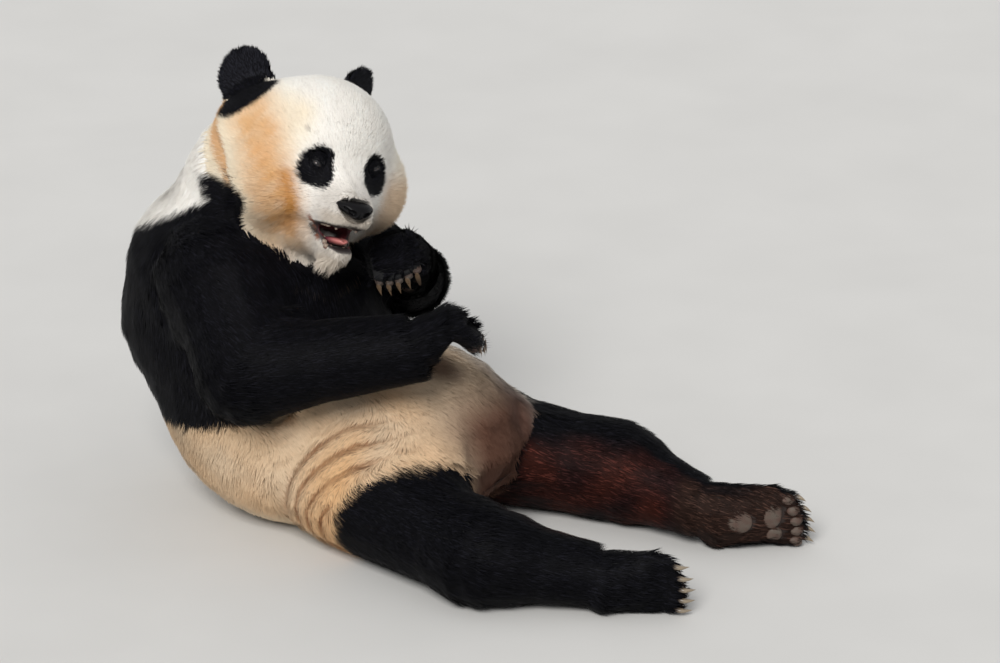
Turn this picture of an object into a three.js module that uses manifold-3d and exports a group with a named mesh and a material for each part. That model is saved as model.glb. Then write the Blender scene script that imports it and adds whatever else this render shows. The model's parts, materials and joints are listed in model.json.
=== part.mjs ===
// A giant panda sitting on the floor and leaning back, its mouth open, one paw at its chin and the other
// closed before its belly. Millimetres, +Z up, the animal faces -Y and its left side is +X. The origin is
// on the floor, under the middle of the box.
//
// The body is a few masses: tapered bones with flesh (cone) and eggs (egg). Masses that grow into each other
// are blended into one smooth field. Each part starts as a ball or capsule round its own bone and is drawn
// out to that field, so neighbours share one surface, and thin cuts at the joints part them.
import * as THREE from "three";
import { mergeVertices } from "three/addons/utils/BufferGeometryUtils.js";
import Module from "manifold-3d";

const wasm = await Module();
wasm.setup();

// ---------------------------------------------------------------- driving dimensions

const SEAM = 1.2; // the thin flat cut between two parts
const CLEAR = 1.2; // how far a part keeps from one that lies in it or against it
const REACH = 26; // how far past its own masses a limb goes on into the blended surface
const TRUNK_REACH = 70; // the same for the trunk, which flat cuts part
const HEAD_REACH = 10; // the same for the head and neck
const BIG = 1600; // larger than the animal
const DIGITS = [-2, -1, 0, 1, 2]; // from the inner edge of a paw to the outer

// A point by how far it is to the animal's left, forward and up.
const at = (left, forward, up) => new THREE.Vector3(left, -forward, up);

const spine = {
  tailRoot: at(0, -408, 118),
  tailTip: at(0, -424, 36),
  rump: at(0, -208, 148),
  loin: at(0, -282, 250),
  belly: at(0, -20, 180),
  chest: at(0, -342, 380),
  withers: at(0, -358, 472),
  nape: at(-4, -268, 672),
  head: at(-10, -183, 680),
};

const limbs = {
  right: {
    side: -1,
    shoulder: at(-165, -300, 478),
    elbow: at(-258, -182, 352),
    wrist: at(-150, 100, 418),
    knuckles: at(-116, 152, 468),
    fingertips: at(-90, 200, 424),
    handAcross: at(0.86, -0.45, -0.1),
    hip: at(-136, -50, 118),
    knee: at(-232, 286, 88),
    ankle: at(-154, 470, 60),
    heel: at(-154, 500, 52),
    ball: at(-124, 576, 60),
    toes: at(-116, 622, 56),
    soleAcross: at(0.12, 0.02, -0.99),
  },
  left: {
    side: 1,
    shoulder: at(170, -310, 480),
    elbow: at(236, -138, 374),
    wrist: at(48, -28, 486),
    knuckles: at(-16, -20, 546),
    fingertips: at(-46, 8, 496),
    handAcross: at(-0.17, -0.88, -0.43),
    hip: at(136, -50, 118),
    knee: at(214, 318, 88),
    ankle: at(190, 498, 68),
    heel: at(196, 540, 58),
    ball: at(236, 632, 62),
    toes: at(256, 676, 56),
    soleAcross: at(0.2, 0.1, -0.97),
  },
};

const girth = {
  shoulder: 112,
  elbow: { right: 92, left: 66 },
  wrist: { right: 68, left: 54 },
  hip: 124,
  knee: 92,
  ankle: 64,
};

// Degrees: turned to its right, chin down, and left ear down.
const HEAD_TURN = { yaw: -34, nod: -3, tilt: 18 };
const EYE = { out: 52, forward: 114, up: 22, radius: 13 };
const EAR = { out: 112, forward: -139, up: 99, wide: 54, high: 66, thick: 20, turn: 30 };
const NOSE = { forward: 194, up: -41, wide: 36, deep: 20, high: 20 };
// The lower lip falls steeply from the corner by drop, then gently to the front.
const MOUTH = { corner: 122, up: -91, lipRise: 0.18, drop: 27, frontDrop: 42, wide: 110, front: 260 };
const JAW = { hinge: 24, hingeUp: -112, below: -240 };
const TONGUE = { forward: 148, up: -113, wide: 18, long: 43, thick: 8, slope: 6 };
const PALATE = { forward: 118, up: -99, wide: 30, long: 46, high: 17, slope: 20 };
const CANINE = { out: 20, radius: 5.5, length: 13, upper: [178, -82], lower: [168, -119] };
const HAND = { pitch: 20, heelRadius: 44, rootRadius: 24, tipRadius: 18, claw: 27, clawRadius: 5.5 };
const FOOT = { pitch: 22, heelRadius: 48, rootRadius: 27, tipRadius: 20, claw: 24, clawRadius: 5.5 };

// ------------------------------------------------ fields: negative inside, in about millimetres

const smoothMin = (a, b, width) => {
  const near = Math.max(width - Math.abs(a - b), 0) / width;
  return Math.min(a, b) - (near * near * width) / 4;
};
const blend = (width, ...fields) => (p) => fields.reduce((d, field) => smoothMin(d, field(p), width), BIG);
const grown = (field, by) => (p) => field(p) - by;
const within = (field, own, reach = REACH) => (p) => Math.max(field(p), own(p) - reach);

// A bone with flesh: radius ra at a, rb at b.
function cone(a, ra, b, rb) {
  const axis = b.clone().sub(a);
  const length = axis.length();
  axis.divideScalar(length);
  const slope = (ra - rb) / length;
  const lean = slope / Math.sqrt(1 - slope * slope);
  const v = new THREE.Vector3();
  return (p) => {
    v.copy(p).sub(a);
    const along = v.dot(axis);
    const off = Math.sqrt(Math.max(v.lengthSq() - along * along, 0));
    const t = THREE.MathUtils.clamp(along + off * lean, 0, length);
    return Math.hypot(along - t, off) - (ra - slope * t);
  };
}

// An egg: radii across, front to back and upright, before it is turned.
function egg(centre, radii, turn = new THREE.Quaternion()) {
  const back = turn.clone().invert();
  const size = new THREE.Vector3(...radii);
  const v = new THREE.Vector3();
  const w = new THREE.Vector3();
  return (p) => {
    v.copy(p).sub(centre).applyQuaternion(back).divide(size);
    const k = v.length();
    if (k < 0.01) return -Math.min(...radii);
    return (k * (k - 1)) / w.copy(v).divide(size).length();
  };
}

const degrees = THREE.MathUtils.degToRad;
const leaning = (angle) => new THREE.Quaternion().setFromEuler(new THREE.Euler(degrees(-angle), 0, 0));
const rising = (direction) =>
  new THREE.Quaternion().setFromUnitVectors(new THREE.Vector3(0, 1, 0), direction.clone().normalize());

// ---------------------------------------------------------------- solids

function merged(geometry) {
  geometry.deleteAttribute("normal");
  geometry.deleteAttribute("uv");
  return mergeVertices(geometry, 1e-3);
}

const solidOf = (geometry) =>
  new wasm.Manifold(
    new wasm.Mesh({
      numProp: 3,
      vertProperties: new Float32Array(geometry.getAttribute("position").array),
      triVerts: new Uint32Array(geometry.index.array),
    }),
  );

// Draws a starting shape out to the field, each corner straight away from the line between two points.
function drawnOut(start, from, to, field) {
  const geometry = merged(start);
  const corners = geometry.getAttribute("position");
  const line = new THREE.Line3(from, to);
  const corner = new THREE.Vector3();
  const root = new THREE.Vector3();
  const away = new THREE.Vector3();
  const place = new THREE.Vector3();
  const depth = (reach) => field(place.copy(root).addScaledVector(away, reach));
  for (let i = 0; i < corners.count; i++) {
    corner.fromBufferAttribute(corners, i);
    if (from.equals(to)) root.copy(from);
    else line.closestPointToPoint(corner, true, root);
    away.copy(corner).sub(root).normalize();
    let inside = 0;
    let outside = 0;
    for (let d = depth(0); d < 0; d = depth(outside)) {
      inside = outside;
      outside += Math.max(-0.7 * d, 1);
    }
    for (let halving = 0; halving < 10; halving++) {
      const middle = (inside + outside) / 2;
      if (depth(middle) < 0) inside = middle;
      else outside = middle;
    }
    place.copy(root).addScaledVector(away, outside);
    corners.setXYZ(i, place.x, place.y, place.z);
  }
  return solidOf(geometry);
}

// A solid round the bone between two points, with so many sides and rings.
function fleshed(from, to, [sides, rings, capRings], field) {
  const start = new THREE.CapsuleGeometry(1, from.distanceTo(to), capRings, sides, rings);
  start.applyQuaternion(rising(to.clone().sub(from)));
  start.translate(...from.clone().lerp(to, 0.5).toArray());
  return drawnOut(start, from, to, field);
}

// A solid round one point, from a ball of even triangles.
function rounded(centre, detail, field) {
  const start = new THREE.IcosahedronGeometry(1, detail);
  start.translate(...centre.toArray());
  return drawnOut(start, centre, centre, field);
}

// A large block that starts at a point and lies on the side that the direction names.
function blockBeyond(point, direction) {
  const block = new THREE.BoxGeometry(2 * BIG, BIG, 2 * BIG);
  block.translate(0, BIG / 2, 0);
  block.applyQuaternion(rising(direction));
  block.translate(...point.toArray());
  return solidOf(merged(block));
}

// Takes away the side of a flat cut that the direction names, and half the seam.
const cutAt = (solid, { point, direction }, way = 1) => {
  const towards = direction.clone().normalize().multiplyScalar(way);
  return solid.subtract(blockBeyond(point.clone().addScaledVector(towards, -SEAM / 2), towards));
};

// The same cut, moved against its direction.
const movedBack = ({ point, direction }, by) => ({
  point: point.clone().addScaledVector(direction.clone().normalize(), -by),
  direction,
});

const onFloor = (solid) => solid.subtract(blockBeyond(at(0, 0, 0), at(0, 0, -1)));

// The largest piece of a solid, without the crumbs that a cut may leave.
const mainPiece = (solid) =>
  solid.decompose().reduce((best, piece) => (piece.volume() > best.volume() ? piece : best));

// ---------------------------------------------------------------- the head's own frame

const headTurn = new THREE.Quaternion().setFromEuler(
  new THREE.Euler(degrees(HEAD_TURN.nod), degrees(HEAD_TURN.tilt), degrees(HEAD_TURN.yaw), "ZXY"),
);
const headWay = (left, forward, up) => at(left, forward, up).applyQuaternion(headTurn);
const onHead = (left, forward, up) => headWay(left, forward, up).add(spine.head);
const headEgg = (left, forward, up, radii, turn = headTurn) => egg(onHead(left, forward, up), radii, turn);
const onBothSides = (make) => [make(-1), make(1)];

// ---------------------------------------------------------------- masses

const mass = {
  rump: egg(spine.rump, [244, 240, 176]),
  loin: egg(spine.loin, [238, 232, 205], leaning(30)),
  belly: egg(spine.belly, [222, 235, 165]),
  chest: egg(spine.chest, [228, 264, 192], leaning(25)),
  withers: egg(spine.withers, [216, 202, 136]),
  neck: cone(spine.withers, 156, spine.nape, 138),
};
for (const { side, shoulder, elbow, hip, knee } of Object.values(limbs)) {
  const name = side < 0 ? "right" : "left";
  mass[`upper_arm_${name}`] = cone(shoulder, girth.shoulder, elbow, girth.elbow[name]);
  mass[`thigh_${name}`] = cone(hip, girth.hip, knee, girth.knee);
}
mass.skull = blend(
  34,
  headEgg(0, -10, 24, [138, 136, 130]),
  headEgg(0, 38, 48, [94, 80, 86]),
  ...onBothSides((side) => headEgg(side * 86, 19, -38, [84, 79, 90])),
  ...onBothSides((side) => headEgg(side * 48, 78, -30, [46, 50, 56])),
);
mass.muzzle = blend(
  22,
  cone(onHead(0, 85, -27), 60, onHead(0, 164, -46), 44),
  ...onBothSides((side) => cone(onHead(side * 28, 112, -66), 32, onHead(side * 23, 172, -62), 27)),
);
mass.chin = blend(
  22,
  cone(onHead(0, 20, -100), 58, onHead(0, 146, -127), 33),
  ...onBothSides((side) => headEgg(side * 10, 164, -133, [25, 26, 22])),
);

const torso = blend(60, mass.rump, mass.loin, mass.belly, mass.chest, mass.withers, mass.neck);
const shoulders = blend(48, torso, mass.upper_arm_right, mass.upper_arm_left);
const body = blend(44, shoulders, mass.thigh_right, mass.thigh_left);
const face = blend(26, mass.skull, mass.muzzle, mass.chin);
const front = blend(30, shoulders, face);

// ---------------------------------------------------------------- parts

const paints = {
  white: { color: 0xe9e2d4, roughness: 0.9, metalness: 0 },
  black: { color: 0x15151a, roughness: 0.85, metalness: 0 },
  horn: { color: 0xb9a88a, roughness: 0.5, metalness: 0 },
  eye: { color: 0x1c120c, roughness: 0.1, metalness: 0 },
  nose: { color: 0x161415, roughness: 0.35, metalness: 0 },
  tongue: { color: 0xb2545c, roughness: 0.45, metalness: 0 },
};
const parts = new Map();
// The keep-out is the part a little larger, which the parts added after it are cut back by.
const addPart = (name, paint, solid, keepOut = null) => parts.set(name, { paint, solid, keepOut });
const change = (name, edit) => {
  parts.get(name).solid = edit(parts.get(name).solid);
};

// Flat cuts, each with the direction of the part beyond it.
const cuts = {
  waist: { point: at(0, -180, 215), direction: at(0, 0.4, 1) },
  girdle: { point: at(0, -240, 345), direction: at(0, -0.4, 1) },
  collar: { point: at(0, -300, 588), direction: at(0, 0.5, 1) },
  throat: { point: onHead(0, -62, -70), direction: headWay(0, 0.8, 0.6) },
  middle: { point: at(0, 0, 0), direction: at(1, 0, 0) },
};

// A block across the head, from an outline of points that are forward and up in the head's frame.
function acrossHead(halfWidth, ...outline) {
  const section = new THREE.Shape(outline.map(([forward, up]) => new THREE.Vector2(forward, up)));
  const block = new THREE.ExtrudeGeometry(section, { depth: 2 * halfWidth, bevelEnabled: false });
  block.translate(0, 0, -halfWidth);
  block.applyMatrix4(
    new THREE.Matrix4().makeBasis(at(0, 1, 0), new THREE.Vector3(0, 0, 1), at(-1, 0, 0)),
  );
  block.applyQuaternion(headTurn);
  block.translate(...spine.head.toArray());
  return solidOf(merged(block));
}
const openMouth = acrossHead(
  MOUTH.wide,
  [MOUTH.corner, MOUTH.up],
  [MOUTH.corner + MOUTH.drop, MOUTH.up - MOUTH.drop],
  [MOUTH.front, MOUTH.up - MOUTH.frontDrop],
  [MOUTH.front, MOUTH.up + (MOUTH.front - MOUTH.corner) * MOUTH.lipRise],
);
const jawRegion = (grow) => acrossHead(
  MOUTH.wide + grow,
  [MOUTH.corner, MOUTH.up + grow],
  [JAW.hinge - grow, JAW.hingeUp + grow],
  [JAW.hinge - grow, JAW.below],
  [MOUTH.front, JAW.below],
  [MOUTH.front, MOUTH.up + grow],
);
const inMouth = ({ forward, up, wide, long, slope }, high) =>
  headEgg(0, forward, up, [wide, long, high], headTurn.clone().multiply(leaning(slope)));
const tongueField = inMouth(TONGUE, TONGUE.thick);
const tongueSolid = (grow) => rounded(onHead(0, TONGUE.forward, TONGUE.up), 1, grown(tongueField, grow));
const palate = rounded(onHead(0, PALATE.forward, PALATE.up), 2, inMouth(PALATE, PALATE.high));
const mouth = openMouth.add(palate);

// A canine tooth as a cone that stands in its jaw.
const canine = (side, forward, gum, way) => {
  const root = onHead(side * CANINE.out, forward, gum - way * CANINE.radius * 2);
  const tip = onHead(side * CANINE.out, forward, gum + way * CANINE.length);
  return fleshed(root, tip, [6, 1, 1], cone(root, CANINE.radius, tip, 1.2));
};
const withTeeth = (solid, [forward, gum], way) =>
  onBothSides((side) => canine(side, forward, gum, way)).reduce((jaw, tooth) => jaw.add(tooth), solid);

// The head, its jaw and what sits in them.
const skullSolid = (grow, detail) =>
  rounded(onHead(0, 20, -14), detail, grown(within(front, blend(30, face, mass.neck), HEAD_REACH), grow));
const headSolid = cutAt(skullSolid(0, 7), cuts.throat, -1).subtract(mouth);
addPart("nose", "nose", ...[0, CLEAR].map((grow) => rounded(onHead(0, NOSE.forward, NOSE.up), 2, grown(
  blend(14, headEgg(0, NOSE.forward, NOSE.up + 5, [NOSE.wide, NOSE.deep, NOSE.high * 0.62]),
    headEgg(0, NOSE.forward - 1, NOSE.up - 6, [NOSE.wide * 0.6, NOSE.deep, NOSE.high * 0.85])), grow))));
addPart("tongue", "tongue", tongueSolid(0), tongueSolid(CLEAR));
for (const [name, { side }] of Object.entries(limbs)) {
  const eye = headEgg(side * EYE.out, EYE.forward, EYE.up, Array(3).fill(EYE.radius));
  const earTurn = headTurn.clone().multiply(
    new THREE.Quaternion().setFromEuler(new THREE.Euler(0, 0, degrees(side * EAR.turn))));
  const ear = headEgg(side * EAR.out, EAR.forward, EAR.up, [EAR.wide, EAR.thick, EAR.high], earTurn);
  addPart(`eye_${name}`, "eye", ...[0, CLEAR].map((grow) =>
    rounded(onHead(side * EYE.out, EYE.forward, EYE.up), 1, grown(eye, grow))));
  addPart(`ear_${name}`, "black", ...[0, CLEAR].map((grow) =>
    rounded(onHead(side * EAR.out, EAR.forward, EAR.up), 2, grown(ear, grow))));
}
addPart("head", "white", withTeeth(headSolid.subtract(jawRegion(SEAM)), CANINE.upper, -1),
  cutAt(skullSolid(5, 4), movedBack(cuts.throat, CLEAR), -1));
addPart("jaw", "white", withTeeth(headSolid.intersect(jawRegion(0)), CANINE.lower, 1));

// A paw: five digits from the inner edge to the outer, each with a claw, on a palm or sole.
function addPaw(name, paw, { joint, jointRadius, heel, ball, toes, across, cut, curl }) {
  const step = across.clone().normalize().multiplyScalar(paw.pitch);
  const ahead = toes.clone().sub(ball).normalize();
  const digits = DIGITS.map((place) => {
    const root = ball.clone().addScaledVector(step, place);
    const tip = toes.clone().addScaledVector(step, place).addScaledVector(ahead, -2.2 * place * place);
    return { root, tip, field: cone(root, paw.rootRadius, tip, paw.tipRadius) };
  });
  const palm = blend(24, cone(joint, jointRadius, heel, paw.heelRadius), ...digits.map(({ root }, i) =>
    cone(heel.clone().addScaledVector(step, DIGITS[i] * 0.5), paw.heelRadius, root, paw.rootRadius)));
  const whole = (grow) => digits.reduce(
    (solid, { root, tip, field }) => solid.add(fleshed(root, tip, [5, 1, 1], grown(field, grow))),
    fleshed(joint, ball, [10, 4, 2], grown(palm, grow)));
  digits.forEach(({ tip }, i) => {
    const base = tip.clone().addScaledVector(ahead, paw.tipRadius * 0.45).addScaledVector(curl, -6);
    const end = base.clone().addScaledVector(ahead, paw.claw * 0.8).addScaledVector(curl, paw.claw * 0.55);
    const claw = cone(base, paw.clawRadius, end, 1);
    addPart(`${name.replace("_", `_claw_${i + 1}_`)}`, "horn", ...[0, CLEAR / 2].map((grow) =>
      fleshed(base, end, [5, 1, 1], grown(claw, grow))));
  });
  addPart(name, "black", cutAt(whole(0), cut, -1),
    fleshed(heel, toes, [8, 2, 2], grown(blend(10, palm, ...digits.map(({ field }) => field)), 4)));
}

// Limbs: each is parted by flat cuts across its elbow and wrist, or its knee and ankle.
const bend = (a, b, c) => ({
  point: b,
  direction: b.clone().sub(a).normalize().add(c.clone().sub(b).normalize()),
});
for (const [name, joint] of Object.entries(limbs)) {
  const elbowCut = bend(joint.shoulder, joint.elbow, joint.wrist);
  const wristCut = bend(joint.elbow, joint.wrist, joint.knuckles);
  const kneeCut = bend(joint.hip, joint.knee, joint.ankle);
  const ankleCut = bend(joint.knee, joint.ankle, joint.ball);
  const forearm = cone(joint.elbow, girth.elbow[name], joint.wrist, girth.wrist[name]);
  const shank = cone(joint.knee, girth.knee, joint.ankle, girth.ankle);
  const upperArm = mass[`upper_arm_${name}`];
  const thigh = mass[`thigh_${name}`];
  addPaw(`hand_${name}`, HAND, {
    joint: joint.elbow.clone().lerp(joint.wrist, 0.85), jointRadius: girth.wrist[name] * 0.95,
    heel: joint.wrist.clone().lerp(joint.knuckles, 0.2), ball: joint.knuckles, toes: joint.fingertips,
    across: joint.handAcross, cut: wristCut, curl: joint.wrist.clone().sub(joint.fingertips).normalize(),
  });
  addPaw(`foot_${name}`, FOOT, {
    joint: joint.ankle, jointRadius: girth.ankle, heel: joint.heel, ball: joint.ball, toes: joint.toes,
    across: joint.soleAcross, cut: ankleCut, curl: at(-joint.side, 0.4, 0).normalize(),
  });
  const [forearmSolid, forearmKeepOut] = [0, CLEAR].map((grow) =>
    fleshed(joint.elbow, joint.wrist, [16, 5, 4], grown(blend(40, upperArm, forearm), grow)));
  const [shankSolid, shankKeepOut] = [0, CLEAR].map((grow) =>
    fleshed(joint.knee, joint.ankle, [16, 4, 4], grown(blend(44, thigh, shank), grow)));
  addPart(`forearm_${name}`, "black", cutAt(cutAt(forearmSolid, elbowCut, -1), wristCut), forearmKeepOut);
  addPart(`shank_${name}`, "black", cutAt(cutAt(shankSolid, kneeCut, -1), ankleCut), shankKeepOut);
  addPart(`upper_arm_${name}`, "black", cutAt(
    fleshed(joint.shoulder, joint.elbow, [14, 4, 3],
      within(blend(40, shoulders, forearm), upperArm)), elbowCut),
    fleshed(joint.shoulder, joint.elbow, [14, 4, 3], grown(upperArm, REACH + CLEAR)));
  addPart(`thigh_${name}`, "black", cutAt(cutAt(
    fleshed(joint.hip, joint.knee, [16, 4, 3], within(blend(44, body, shank), thigh)), kneeCut),
    cuts.middle, -joint.side),
    fleshed(joint.hip, joint.knee, [16, 4, 3], grown(thigh, REACH + CLEAR)));
}

// Tail, trunk and neck, one after the other, parted by flat cuts across the spine.
const tail = cone(spine.tailRoot, 44, spine.tailTip, 34);
const tailSolid = (grow) => fleshed(spine.tailRoot, spine.tailTip, [10, 2, 3], grown(tail, grow));
addPart("tail", "white", tailSolid(0), tailSolid(CLEAR));
const trunkPart = (field, ...own) => within(field, blend(30, ...own), TRUNK_REACH);
const neckField = within(front, mass.neck, REACH);
addPart("rump", "white", cutAt(cutAt(
  rounded(at(0, -190, 135), 4, trunkPart(body, mass.rump, mass.loin)), cuts.girdle), cuts.waist));
addPart("belly", "white", cutAt(cutAt(
  rounded(at(0, -110, 255), 4, trunkPart(body, mass.belly, mass.loin)), cuts.girdle), cuts.waist, -1));
addPart("chest", "black", cutAt(cutAt(
  rounded(at(0, -320, 430), 4, trunkPart(shoulders, mass.chest, mass.withers)),
  cuts.collar), cuts.girdle, -1));
addPart("neck", "white", cutAt(cutAt(
  fleshed(spine.withers, spine.nape, [24, 5, 4], neckField),
  cuts.throat), cuts.collar, -1));

// Cuts each part back by those that were added before it, unless a flat cut already parts them.
const flatCutBetween = (a, b) => {
  const chains = [
    ["rump", "belly"], ["belly", "chest"], ["chest", "neck"], ["neck", "head"], ["head", "jaw"],
    ["neck", "jaw"],
  ];
  for (const name of Object.keys(limbs))
    chains.push(
      [`upper_arm_${name}`, `forearm_${name}`], [`forearm_${name}`, `hand_${name}`],
      [`thigh_${name}`, `shank_${name}`], [`shank_${name}`, `foot_${name}`],
    );
  return chains.some((chain) => chain.includes(a) && chain.includes(b));
};
const names = [...parts.keys()];
names.forEach((name, i) => {
  for (const other of names.slice(0, i)) {
    const { keepOut } = parts.get(other);
    if (keepOut && !flatCutBetween(name, other)) change(name, (solid) => solid.subtract(keepOut));
  }
});

// ---------------------------------------------------------------- the scene

for (const name of names) change(name, onFloor);

const model = new THREE.Group();
for (const [name, { solid, paint }] of parts) {
  const mesh = mainPiece(solid).getMesh();
  const places = new Float32Array(mesh.numVert * 3);
  for (let i = 0; i < mesh.numVert; i++)
    places.set(mesh.vertProperties.subarray(i * mesh.numProp, i * mesh.numProp + 3), 3 * i);
  const geometry = new THREE.BufferGeometry();
  geometry.setAttribute("position", new THREE.BufferAttribute(places, 3));
  geometry.setIndex(new THREE.BufferAttribute(mesh.triVerts, 1));
  geometry.computeVertexNormals();
  const shown = new THREE.Mesh(geometry, new THREE.MeshStandardMaterial(paints[paint]));
  shown.name = name;
  model.add(shown);
}

// The origin goes on the floor, under the middle of the box.
const box = new THREE.Box3().setFromObject(model);
const middle = box.getCenter(new THREE.Vector3());
model.position.set(-middle.x, -middle.y, -box.min.z);

export default model;
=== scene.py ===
# %% [markdown]
# # A giant panda that sits and eats
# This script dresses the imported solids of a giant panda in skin, coat and small fittings.
# The solids reach to the tips of the coat, so everything here is made from them: the skin is
# the same body drawn in by the depth of the coat, and the coat fills that depth with tufts.
# Everything is in metres. The animal faces -Y, +Z is up and its left side is +X.

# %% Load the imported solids
import json
import math

import bpy
import numpy as np
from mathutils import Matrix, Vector
from mathutils.bvhtree import BVHTree

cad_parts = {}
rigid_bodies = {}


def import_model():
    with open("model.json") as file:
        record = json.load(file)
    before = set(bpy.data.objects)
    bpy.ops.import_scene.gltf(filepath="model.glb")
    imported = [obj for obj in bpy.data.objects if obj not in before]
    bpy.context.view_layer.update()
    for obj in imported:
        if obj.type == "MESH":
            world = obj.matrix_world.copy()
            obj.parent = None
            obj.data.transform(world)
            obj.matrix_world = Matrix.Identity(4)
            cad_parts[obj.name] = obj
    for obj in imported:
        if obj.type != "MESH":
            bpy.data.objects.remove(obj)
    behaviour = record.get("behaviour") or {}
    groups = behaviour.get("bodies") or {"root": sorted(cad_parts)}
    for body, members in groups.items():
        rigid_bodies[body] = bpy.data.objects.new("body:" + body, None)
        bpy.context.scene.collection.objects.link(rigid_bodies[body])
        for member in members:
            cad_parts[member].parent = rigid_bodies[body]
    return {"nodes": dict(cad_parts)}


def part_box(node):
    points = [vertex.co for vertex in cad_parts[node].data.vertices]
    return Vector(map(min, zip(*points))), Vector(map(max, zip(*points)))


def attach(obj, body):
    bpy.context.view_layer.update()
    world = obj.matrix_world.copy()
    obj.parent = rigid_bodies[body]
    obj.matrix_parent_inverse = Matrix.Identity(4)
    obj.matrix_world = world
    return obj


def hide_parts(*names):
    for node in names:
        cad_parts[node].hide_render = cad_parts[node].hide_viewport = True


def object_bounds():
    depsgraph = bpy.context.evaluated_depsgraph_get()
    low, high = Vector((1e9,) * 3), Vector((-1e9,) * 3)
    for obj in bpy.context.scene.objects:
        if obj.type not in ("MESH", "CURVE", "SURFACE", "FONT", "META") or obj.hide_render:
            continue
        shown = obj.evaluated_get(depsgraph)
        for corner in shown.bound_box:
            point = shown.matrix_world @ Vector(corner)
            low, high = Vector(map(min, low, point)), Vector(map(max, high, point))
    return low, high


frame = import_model()
cad_low, cad_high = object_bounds()
MM = 0.001
SIDES = {"right": -1, "left": 1}
FITTINGS = ("eye", "nose", "tongue")
FLESH = [n for n in sorted(frame["nodes"]) if not n.startswith(FITTINGS) and "claw" not in n]
print("flesh nodes", len(FLESH), "box", [round(v, 3) for v in cad_high - cad_low])

# %% [markdown]
# ## Helpers for arrays of points
# A coat has hundreds of thousands of tufts, so points are worked on as whole NumPy arrays.
# A loop over bpy vertices would take minutes where these take moments.
#
# Much below is said with soft edges. An edge is written as the name of a measure, where an
# area begins and where it is full, so ("up", 0.09, 0.04) grows downwards. An area is a list of
# such edges and holds where all of them do.

# %% Vectors, edges and areas


def unit(vectors):
    return vectors / np.maximum(np.linalg.norm(vectors, axis=-1, keepdims=True), 1e-12)


def dot(a, b):
    return (a * b).sum(-1)


def ramp(low, high, values):
    """0 below low, 1 above high and a smooth step between; low may be the larger one."""
    t = np.clip((values - low) / (high - low), 0, 1)
    return t * t * (3 - 2 * t)


def area(edges, measures):
    """1 inside an area and 0 outside it."""
    return math.prod(ramp(begins, full, measures[name]) for name, begins, full in edges)


def areas(table, measures):
    return {name: area(edges, measures) for name, edges in table.items()}


def between(a, b, share):
    return a + (b - a) * share


def mixed(a, b, share):
    """The same for points or colours, with a share for each."""
    return between(a, b, np.asarray(share)[..., None])


def layered(colour, *layers):
    """Lays colours over one another, each by its share."""
    for over, share in layers:
        colour = mixed(colour, over, share)
    return colour


def plain(colour, places):
    """One colour for all the places."""
    return np.tile(colour, (len(places), 1))


def rounded(values, power):
    """A power that keeps the sign: one under 1 makes a ball squarer."""
    return np.sign(values) * np.abs(values) ** power


def square_to(ways, axis):
    """The ways turned until they are square to an axis."""
    return unit(ways - axis * dot(ways, axis)[..., None])


def waves(points, scale, seed, count=6):
    """Smooth noise of about -1 to 1, from a few plane waves of that wavelength."""
    random = np.random.default_rng(seed)
    ways = unit(random.normal(size=(count, 3))) * random.uniform(0.7, 1.4, (count, 1))
    shifts = random.uniform(0, 2 * math.pi, count)
    return np.sin(points @ ways.T * (2 * math.pi / scale) + shifts).sum(1) * (1.4 / count)


def patchy(points, scale, seed, level, swing):
    """A share that wavers about a level."""
    return np.clip(level + swing * waves(points, scale, seed), 0, 1)


# %% Meshes in and out of arrays
MARKING = "Marking"


def read(items, key, width, kind=np.float32):
    values = np.empty(len(items) * width, kind)
    items.foreach_get(key, values)
    return values.reshape(-1, width)


def mesh_arrays(mesh):
    mesh.calc_loop_triangles()
    triangles = read(mesh.loop_triangles, "vertices", 3, np.int32)
    return read(mesh.vertices, "co", 3).astype(float), triangles


def welded(points, triangles):
    _, first, place = np.unique(
        np.round(points, 6), axis=0, return_index=True, return_inverse=True)
    return points[first], place.ravel()[triangles]


def joined(meshes):
    points = np.concatenate([p for p, _ in meshes])
    starts = np.cumsum([0] + [len(p) for p, _ in meshes[:-1]])
    return points, np.concatenate([t + start for (_, t), start in zip(meshes, starts)])


def halves(quads):
    return np.concatenate([quads[:, [0, 1, 2]], quads[:, [0, 2, 3]]])


def sides_of(quads):
    """The two ends of every side of four-cornered faces."""
    return np.concatenate([quads[:, [k, (k + 1) % 4]] for k in range(4)])


def facing(faces, way):
    """The faces turned over if the way is below 0."""
    return faces[:, ::-1] if way < 0 else faces


def sums_at(count, indices, values):
    return np.stack([np.bincount(indices, values[:, k], count) for k in range(3)], 1)


def corners_of(points, triangles):
    return (points[triangles[:, k]] for k in range(3))


def normals_of(points, triangles):
    a, b, c = corners_of(points, triangles)
    faces = np.cross(b - a, c - a)
    return unit(sum(sums_at(len(points), triangles[:, k], faces) for k in range(3)))


def new_object(name, points, faces, material=None):
    """An object from an array of points and one of faces that all have as many corners."""
    mesh = bpy.data.meshes.new(name)
    count, corners = faces.shape
    mesh.vertices.add(len(points))
    mesh.vertices.foreach_set("co", np.asarray(points, np.float32).ravel())
    mesh.loops.add(count * corners)
    mesh.loops.foreach_set("vertex_index", faces.astype(np.int32).ravel())
    mesh.polygons.add(count)
    mesh.polygons.foreach_set("loop_start", np.arange(count, dtype=np.int32) * corners)
    mesh.update(calc_edges=True)
    mesh.shade_smooth()
    piece = bpy.data.objects.new(name, mesh)
    bpy.context.scene.collection.objects.link(piece)
    if material:
        mesh.materials.append(material)
    return piece


def set_colours(mesh, colours):
    """Writes a colour for each vertex into the attribute that the finishes read."""
    layer = mesh.color_attributes.new(MARKING, "FLOAT_COLOR", "POINT")
    values = np.ones((len(colours), 4), np.float32)
    values[:, :3] = np.clip(colours, 0, 1)
    layer.data.foreach_set("color", values.ravel())


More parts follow.
